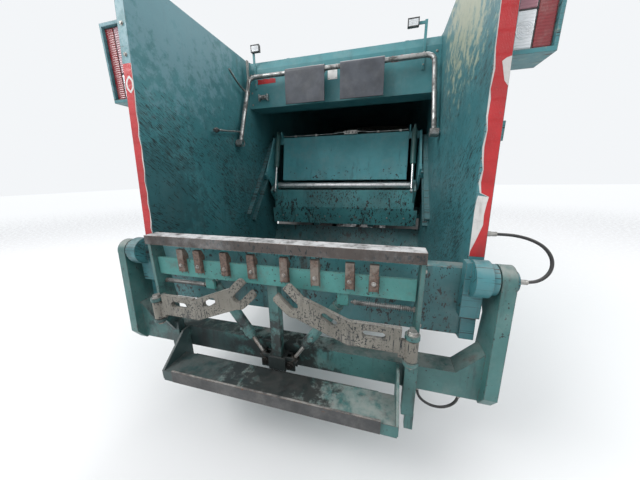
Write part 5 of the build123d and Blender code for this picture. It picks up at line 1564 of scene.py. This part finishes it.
@dataclass
class CabTrim(Trim):
    """Seals, handles, wipers, grille bars, mirror faces and lamps of the cab."""

    body: str = Body.CAB.value
    half: float = 1.150
    window: tuple[float, float, float, float] = (3.080, 3.960, 1.980, 2.680)
    corner: float = 0.060
    screen_foot: Flat = (4.306, 2.030)
    screen_head: Flat = (4.172, 2.806)
    screen_half: float = 0.985
    grille_rows: tuple[float, ...] = (1.020, 1.130, 1.240, 1.350)
    head_lamp: Point = (0.950, 4.395, 0.590)
    handle: Flat = (3.165, 1.862)
    hinge_y: float = 4.030
    mirror: Flat = (1.270, 4.137)
    panel_y: float = 4.3855
    marker_places: tuple[float, ...] = (-0.80, -0.40, 0.40, 0.80)

    def build(self) -> None:
        """Builds every piece of trim."""
        for side_name, side in SIDES:
            self._door(side_name, side)
            self._mirror(side_name, side)
            self._head_lamp(side_name, side)
        self._screen()
        self._grille()
        self._roof_lamps()
        self._dashboard()

    def _loop(self, low: float, high: float, bottom: float, top: float) -> list[Flat]:
        """Rounded rectangle as points in two directions.

        Args:
            low: least value across.
            high: greatest value across.
            bottom: least value up.
            top: greatest value up.

        Returns:
            The points in order.
        """
        c = self.corner
        return [(low + c, bottom), (high - c, bottom), (high, bottom), (high, bottom + c), (high, top - c),
                (high, top), (high - c, top), (low + c, top), (low, top), (low, top - c), (low, bottom + c),
                (low, bottom)]

    def _door(self, side_name: str, side: int) -> None:
        """Window seal, handle in its cup, waist moulding and hinges of one door.

        Args:
            side_name: left or right.
            side: -1 or 1, the sign of its X.
        """
        body = f"door_{side_name}"
        low, high, bottom, top = self.window
        route = [(side * (self.half - 0.004), a, b) for a, b in self._loop(low, high, bottom, top)]
        self.tube(f"window_seal_{side_name}", route, 0.008, "black_rubber", body, closed=True)
        shape = bmesh.new()
        y, z = self.handle
        put_box(shape, (side * (self.half + 0.0015), y, z - 0.012), (0.005, 0.190, 0.085), 0.002)
        put_box(shape, (side * (self.half + 0.016), y, z), (0.012, 0.165, 0.028), 0.005)
        for dy in (-0.070, 0.070):
            put_box(shape, (side * (self.half + 0.009), y + dy, z), (0.014, 0.018, 0.022), 0.003)
        put_round(shape, (side * (self.half + 0.003), y, z - 0.040), (side, 0, 0), 0.011, 0.003, 20)
        for z in (1.40, 1.62):
            put_box(shape, (side * (self.half + 0.002), 3.50, z), (0.006, 0.94, 0.020), 0.002)
        self.add(f"door_trim_{side_name}", shape, "dark_plastic", body)
        hinges = bmesh.new()
        for z in (1.45, 1.88):
            put_round(hinges, (side * (self.half - 0.012), self.hinge_y, z), UP, 0.011, 0.070, 16,
                      round_by=0.002)
        self.add(f"door_hinges_{side_name}", hinges, "chassis_paint", body)

    def _mirror(self, side_name: str, side: int) -> None:
        """Two glass faces and their rim in one mirror housing.

        Args:
            side_name: left or right.
            side: -1 or 1, the sign of its X.
        """
        shape = bmesh.new()
        x, y = side * self.mirror[0], self.mirror[1]
        for z, tall in ((2.385, 0.270), (2.180, 0.095)):
            put_box(shape, (x, y + 0.0022, z), (0.138, 0.0016, tall), 0.0006)
        self.add(f"mirror_glass_{side_name}", shape, "mirror_face")
        rim = bmesh.new()
        for z in (2.125, 2.237, 2.530):
            put_box(rim, (x, y, z), (0.154, 0.006, 0.010), 0.002)
        for dx in (-0.075, 0.075):
            put_box(rim, (x + dx, y, 2.330), (0.008, 0.006, 0.410), 0.002)
        self.add(f"mirror_rim_{side_name}", rim, "dark_plastic")

    def _head_lamp(self, side_name: str, side: int) -> None:
        """Two round reflectors with their bulbs, and a turn lamp beside them.

        Args:
            side_name: left or right.
            side: -1 or 1, the sign of its X.
        """
        x, y, z = self.head_lamp
        bowls = bmesh.new()
        for dx in (-0.105, 0.010):
            put_ring(bowls, (side * (x + dx), y + 0.001, z), AHEAD, 0.052, 0.004, 28)
            put_ring(bowls, (side * (x + dx), y + 0.001, z), AHEAD, 0.020, 0.003, 20)
            put_round(bowls, (side * (x + dx), y, z), AHEAD, 0.014, 0.005, 20, round_by=0.002)
        self.add(f"head_lamp_bowls_{side_name}", bowls, "mirror_face", Body.CHASSIS.value, slot="head_lamp")
        turn = bmesh.new()
        put_box(turn, (side * (x + 0.125), y + 0.002, z), (0.070, 0.005, 0.140), 0.002)
        self.add(f"turn_lamp_{side_name}", turn, "lamp_amber", Body.CHASSIS.value)

    def _screen(self) -> None:
        """Screen seal and the three wiper arms with blades."""
        (foot_y, foot_z), (head_y, head_z) = self.screen_foot, self.screen_head
        lean = (head_y - foot_y) / (head_z - foot_z)

        def on_screen(x: float, z: float, out: float = 0.0) -> Point:
            """Point over the leaning screen at a height."""
            return x, foot_y + lean * (z - foot_z) + out, z

        outline = self._loop(-self.screen_half, self.screen_half, foot_z, head_z)
        route = [on_screen(x, z, 0.004) for x, z in outline]
        self.tube("screen_seal", route, 0.010, "black_rubber", closed=True)
        for index, x in enumerate((-0.62, 0.02, 0.64)):
            shape = bmesh.new()
            put_round(shape, on_screen(x, 1.990, 0.006), AHEAD, 0.018, 0.022, 20, round_by=0.003)
            a, b = Vector(on_screen(x, 1.992, 0.026)), Vector(on_screen(x - 0.30, 2.215, 0.026))
            put_round(shape, a, b - a, 0.008, (b - a).length, 10, 0.005)
            c, d = Vector(on_screen(x - 0.60, 2.16, 0.016)), Vector(on_screen(x - 0.02, 2.27, 0.016))
            put_round(shape, c, d - c, 0.006, (d - c).length, 8)
            put_box(shape, (c + d) / 2 + Vector((0, 0.008, 0)), (0.05, 0.012, 0.018), 0.002)
            self.add(f"wiper_{index}", shape, "dark_plastic")

    def _grille(self) -> None:
        """Slats and uprights in the panel's openings, and the panel's seams."""
        shape = bmesh.new()
        for z in self.grille_rows:
            for dz in (-0.014, 0.014):
                put_box(shape, (0.0, 4.352, z + dz), (1.500, 0.020, 0.006), 0.002)
            for step in range(25):
                put_box(shape, (-0.720 + 0.060 * step, 4.344, z), (0.005, 0.010, 0.066), 0.001)
        self.add("grille_slats", shape, "dark_plastic")
        seams = bmesh.new()
        for x in (-0.86, 0.86):
            put_box(seams, (x, self.panel_y, 1.36), (0.006, 0.002, 1.10), 0.0006)
        put_box(seams, (0.0, self.panel_y, 1.50), (1.72, 0.002, 0.006), 0.0006)
        self.add("panel_seams", seams, "black_rubber")

    def _roof_lamps(self) -> None:
        """Marker lamps along the roof's front edge."""
        shape, bases = bmesh.new(), bmesh.new()
        for x in self.marker_places:
            put_box(shape, (x, 4.020, 2.950), (0.110, 0.044, 0.026), 0.008)
            put_box(bases, (x, 4.020, 2.939), (0.124, 0.056, 0.008), 0.002)
        self.add("roof_markers", shape, "lamp_amber")
        self.add("roof_marker_bases", bases, "black_rubber")

    def _dashboard(self) -> None:
        """Gauges' hood, switches and vents on the dashboard."""
        shape = bmesh.new()
        put_box(shape, (-0.520, 4.060, 1.905), (0.420, 0.160, 0.070), 0.020)
        for x in (-0.20, 0.10, 0.40, 0.70):
            for step in range(5):
                put_box(shape, (x, 3.958, 1.700 + 0.016 * step), (0.120, 0.010, 0.005), 0.001)
        for x in (-0.02, 0.22, 0.52):
            put_round(shape, (x, 3.960, 1.660), BACK, 0.016, 0.016, 20, 0.014, 0.002)
        self.add("dash_details", shape, "dark_plastic")


@dataclass
class UnderTrim(Trim):
    """Straps, caps, lids and side markers on chassis and body."""

    body: str = Body.CHASSIS.value
    marker_places: tuple[float, ...] = (-1.55, -0.50, 0.55, 1.60, 2.30)
    marker_z: float = 1.255

    def build(self) -> None:
        """Builds every piece of trim."""
        self._tank()
        self._battery_box()
        self._markers()
        self._silencer()

    def _tank(self) -> None:
        """Two straps round the tank and its cap."""
        low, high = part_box("fuel_tank")
        middle = (low + high) / 2
        wide, tall = high.x - low.x - 0.10, high.z - low.z - 0.10
        straps = bmesh.new()
        for y in (low.y + 0.25, high.y - 0.25):
            put_box(straps, (middle.x, y, high.z + 0.002), (wide, 0.050, 0.004), 0.001)
            put_box(straps, (high.x + 0.002, y, middle.z), (0.004, 0.050, tall), 0.001)
            put_box(straps, (middle.x, y, low.z - 0.002), (wide, 0.050, 0.004), 0.001)
            put_bolt(straps, (high.x + 0.004, y, high.z - 0.10), RIGHT, 0.010)
        self.add("tank_straps", straps, "bolt_steel")
        cap = bmesh.new()
        x, y, z = high.x - 0.13, low.y + 0.55, high.z
        put_round(cap, (x, y, z - 0.002), UP, 0.055, 0.026, 32, 0.050, 0.004)
        put_round(cap, (x, y, z + 0.024), UP, 0.040, 0.014, 12, 0.038, 0.003)
        self.add("tank_cap", cap, "dark_plastic")

    def _battery_box(self) -> None:
        """Lid ribs and latches of the battery box."""
        low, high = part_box("battery_box")
        shape = bmesh.new()
        for y in (low.y + 0.20, low.y + 0.50, high.y - 0.50, high.y - 0.20):
            put_box(shape, (low.x - 0.003, y, high.z - 0.14), (0.008, 0.030, 0.110), 0.002)
            put_bolt(shape, (low.x - 0.006, y, high.z - 0.18), (-1, 0, 0), 0.007)
        middle, long = (low.y + high.y) / 2, high.y - low.y - 0.16
        for z in (low.z + 0.10, low.z + 0.20, low.z + 0.30):
            put_box(shape, (low.x - 0.002, middle, z), (0.006, long, 0.018), 0.002)
        self.add("battery_latches", shape, "dark_plastic")

    def _markers(self) -> None:
        """Amber side markers in rubber holders along the body's foot."""
        lens, holder = bmesh.new(), bmesh.new()
        for side in (-1, 1):
            for y in self.marker_places:
                put_box(holder, (side * 1.214, y, self.marker_z), (0.012, 0.124, 0.052), 0.003)
                put_box(lens, (side * 1.221, y, self.marker_z), (0.014, 0.104, 0.034), 0.004)
        self.add("side_markers", lens, "lamp_amber")
        self.add("side_marker_holders", holder, "black_rubber")

    def _silencer(self) -> None:
        """Clamp bands round the silencer."""
        low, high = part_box("silencer")
        middle, tall = (low.z + high.z) / 2, (high.z - low.z) * 0.5
        shape = bmesh.new()
        for y in (low.y + 0.16, high.y - 0.16):
            put_box(shape, (low.x - 0.0015, y, middle), (0.003, 0.040, tall), 0.001)
            put_bolt(shape, (low.x - 0.003, y, middle + 0.06), (-1, 0, 0), 0.008)
        self.add("silencer_bands", shape, "bolt_steel")


@dataclass
class Studio:
    """Pale floor, soft light and the camera at the photograph's angle."""

    floor_half: float = 40.0
    floor_colour: Colour = (0.80, 0.80, 0.80)
    white: Colour = (0.90, 0.92, 0.94)
    floor_fade: float = 16.0
    sky_strength: float = 0.62
    # columns: name, place, side length, power in watts
    lamps: tuple[tuple[str, Point, float, float], ...] = (
        ("key_lamp", (-7.0, -9.0, 9.0), 6.0, 900.0), ("fill_lamp", (9.0, -6.0, 7.0), 7.0, 500.0),
        ("top_lamp", (0.0, 4.0, 12.0), 9.0, 900.0))
    aim: Point = (0.0, TAIL + 0.8, 1.4)
    eye: Point = (0.592, TAIL - 1.30, 1.70)
    yaw: float = 15.456
    pitch: float = 14.754
    roll: float = 0.78
    lens: float = 13.67

    def build(self) -> None:
        """Makes floor, world, lamps and camera."""
        self._floor()
        self._world()
        for lamp in self.lamps:
            self._lamp(*lamp)
        self._camera()

    def _floor(self) -> None:
        """Flat pale floor, white to the camera but keeping the truck's shadow."""
        shape = bmesh.new()
        bmesh.ops.create_grid(shape, x_segments=1, y_segments=1, size=self.floor_half)
        mesh = bpy.data.meshes.new("floor")
        shape.to_mesh(mesh)
        shape.free()
        g = Graph("floor_pale")
        close_by = g.near((0.0, TAIL, 0.0), self.floor_fade)
        glow = g.math("SUBTRACT", 1.0, close_by)
        g.feed(g.shader, {"Emission Color": self.white, "Emission Strength": glow})
        mesh.materials.append(g.close(g.mix(close_by, (0.0, 0.0, 0.0), self.floor_colour), 0.9))
        put_object("floor", mesh)

    def _world(self) -> None:
        """Even sky, white where the camera sees it."""
        world = bpy.data.worlds.new("sky")
        bpy.context.scene.world = world
        world.use_nodes = True
        tree = world.node_tree
        tree.nodes.clear()
        light = tree.nodes.new("ShaderNodeBackground")
        seen = tree.nodes.new("ShaderNodeBackground")
        light.inputs["Color"].default_value = (0.93, 0.96, 1.0, 1.0)
        light.inputs["Strength"].default_value = self.sky_strength
        seen.inputs["Color"].default_value = (*self.white, 1.0)
        path = tree.nodes.new("ShaderNodeLightPath")
        mixed = tree.nodes.new("ShaderNodeMixShader")
        out = tree.nodes.new("ShaderNodeOutputWorld")
        direct = path.outputs["Is Camera Ray"]
        for kind in ("Is Glossy Ray", "Is Transmission Ray"):
            either = tree.nodes.new("ShaderNodeMath")
            either.operation = "MAXIMUM"
            tree.links.new(direct, either.inputs[0])
            tree.links.new(path.outputs[kind], either.inputs[1])
            direct = either.outputs[0]
        tree.links.new(direct, mixed.inputs[0])
        tree.links.new(light.outputs[0], mixed.inputs[1])
        tree.links.new(seen.outputs[0], mixed.inputs[2])
        tree.links.new(mixed.outputs[0], out.inputs[0])

    def _lamp(self, name: str, place: Point, size: float, power: float) -> None:
        """One large square lamp aimed at the hopper.

        Args:
            name: its name.
            place: where it hangs.
            size: length of its sides.
            power: its power in watts.
        """
        data = bpy.data.lights.new(name, "AREA")
        data.size = size
        data.energy = power
        lamp = put_object(name, data)
        lamp.location = place
        aim = Vector(self.aim) - Vector(place)
        lamp.rotation_euler = aim.to_track_quat("-Z", "Y").to_euler()

    def _camera(self) -> None:
        """Wide camera behind the hopper, from its measured yaw, pitch and roll."""
        yaw, pitch, roll = (math.radians(a) for a in (self.yaw, self.pitch, self.roll))
        ahead = Vector((-math.sin(yaw) * math.cos(pitch), math.cos(yaw) * math.cos(pitch), -math.sin(pitch)))
        level = ahead.cross(Vector(UP)).normalized()
        down = ahead.cross(level)
        right = level * math.cos(roll) + down * math.sin(roll)
        below = down * math.cos(roll) - level * math.sin(roll)
        data = bpy.data.cameras.new("camera")
        data.lens = self.lens
        data.sensor_width = 36.0
        data.clip_start = 0.02
        camera = put_object("camera", data)
        turn = Matrix((right, -below, -ahead)).transposed()
        camera.matrix_world = Matrix.Translation(self.eye) @ turn.to_4x4()
        bpy.context.scene.camera = camera


def main() -> None:
    """Builds the looks of each sub-assembly in order."""
    logging.basicConfig(level=logging.INFO)
    bpy.context.scene.view_settings.view_transform = "Standard"
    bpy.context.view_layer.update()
    Studio().build()
    finishes = Finishes()
    log.info("dressed %d nodes", CadDressing(finishes).dress())
    for kind in (TailgateTrim, BeamTrim, StopTrim, Hoses, LifterTrim, PackerTrim, Wheels, Seats, CabTrim,
                 UnderTrim):
        trim = kind(finishes)
        trim.build()
        log.info("built %s", type(trim).__name__)


if __name__ == "__main__":
    main()
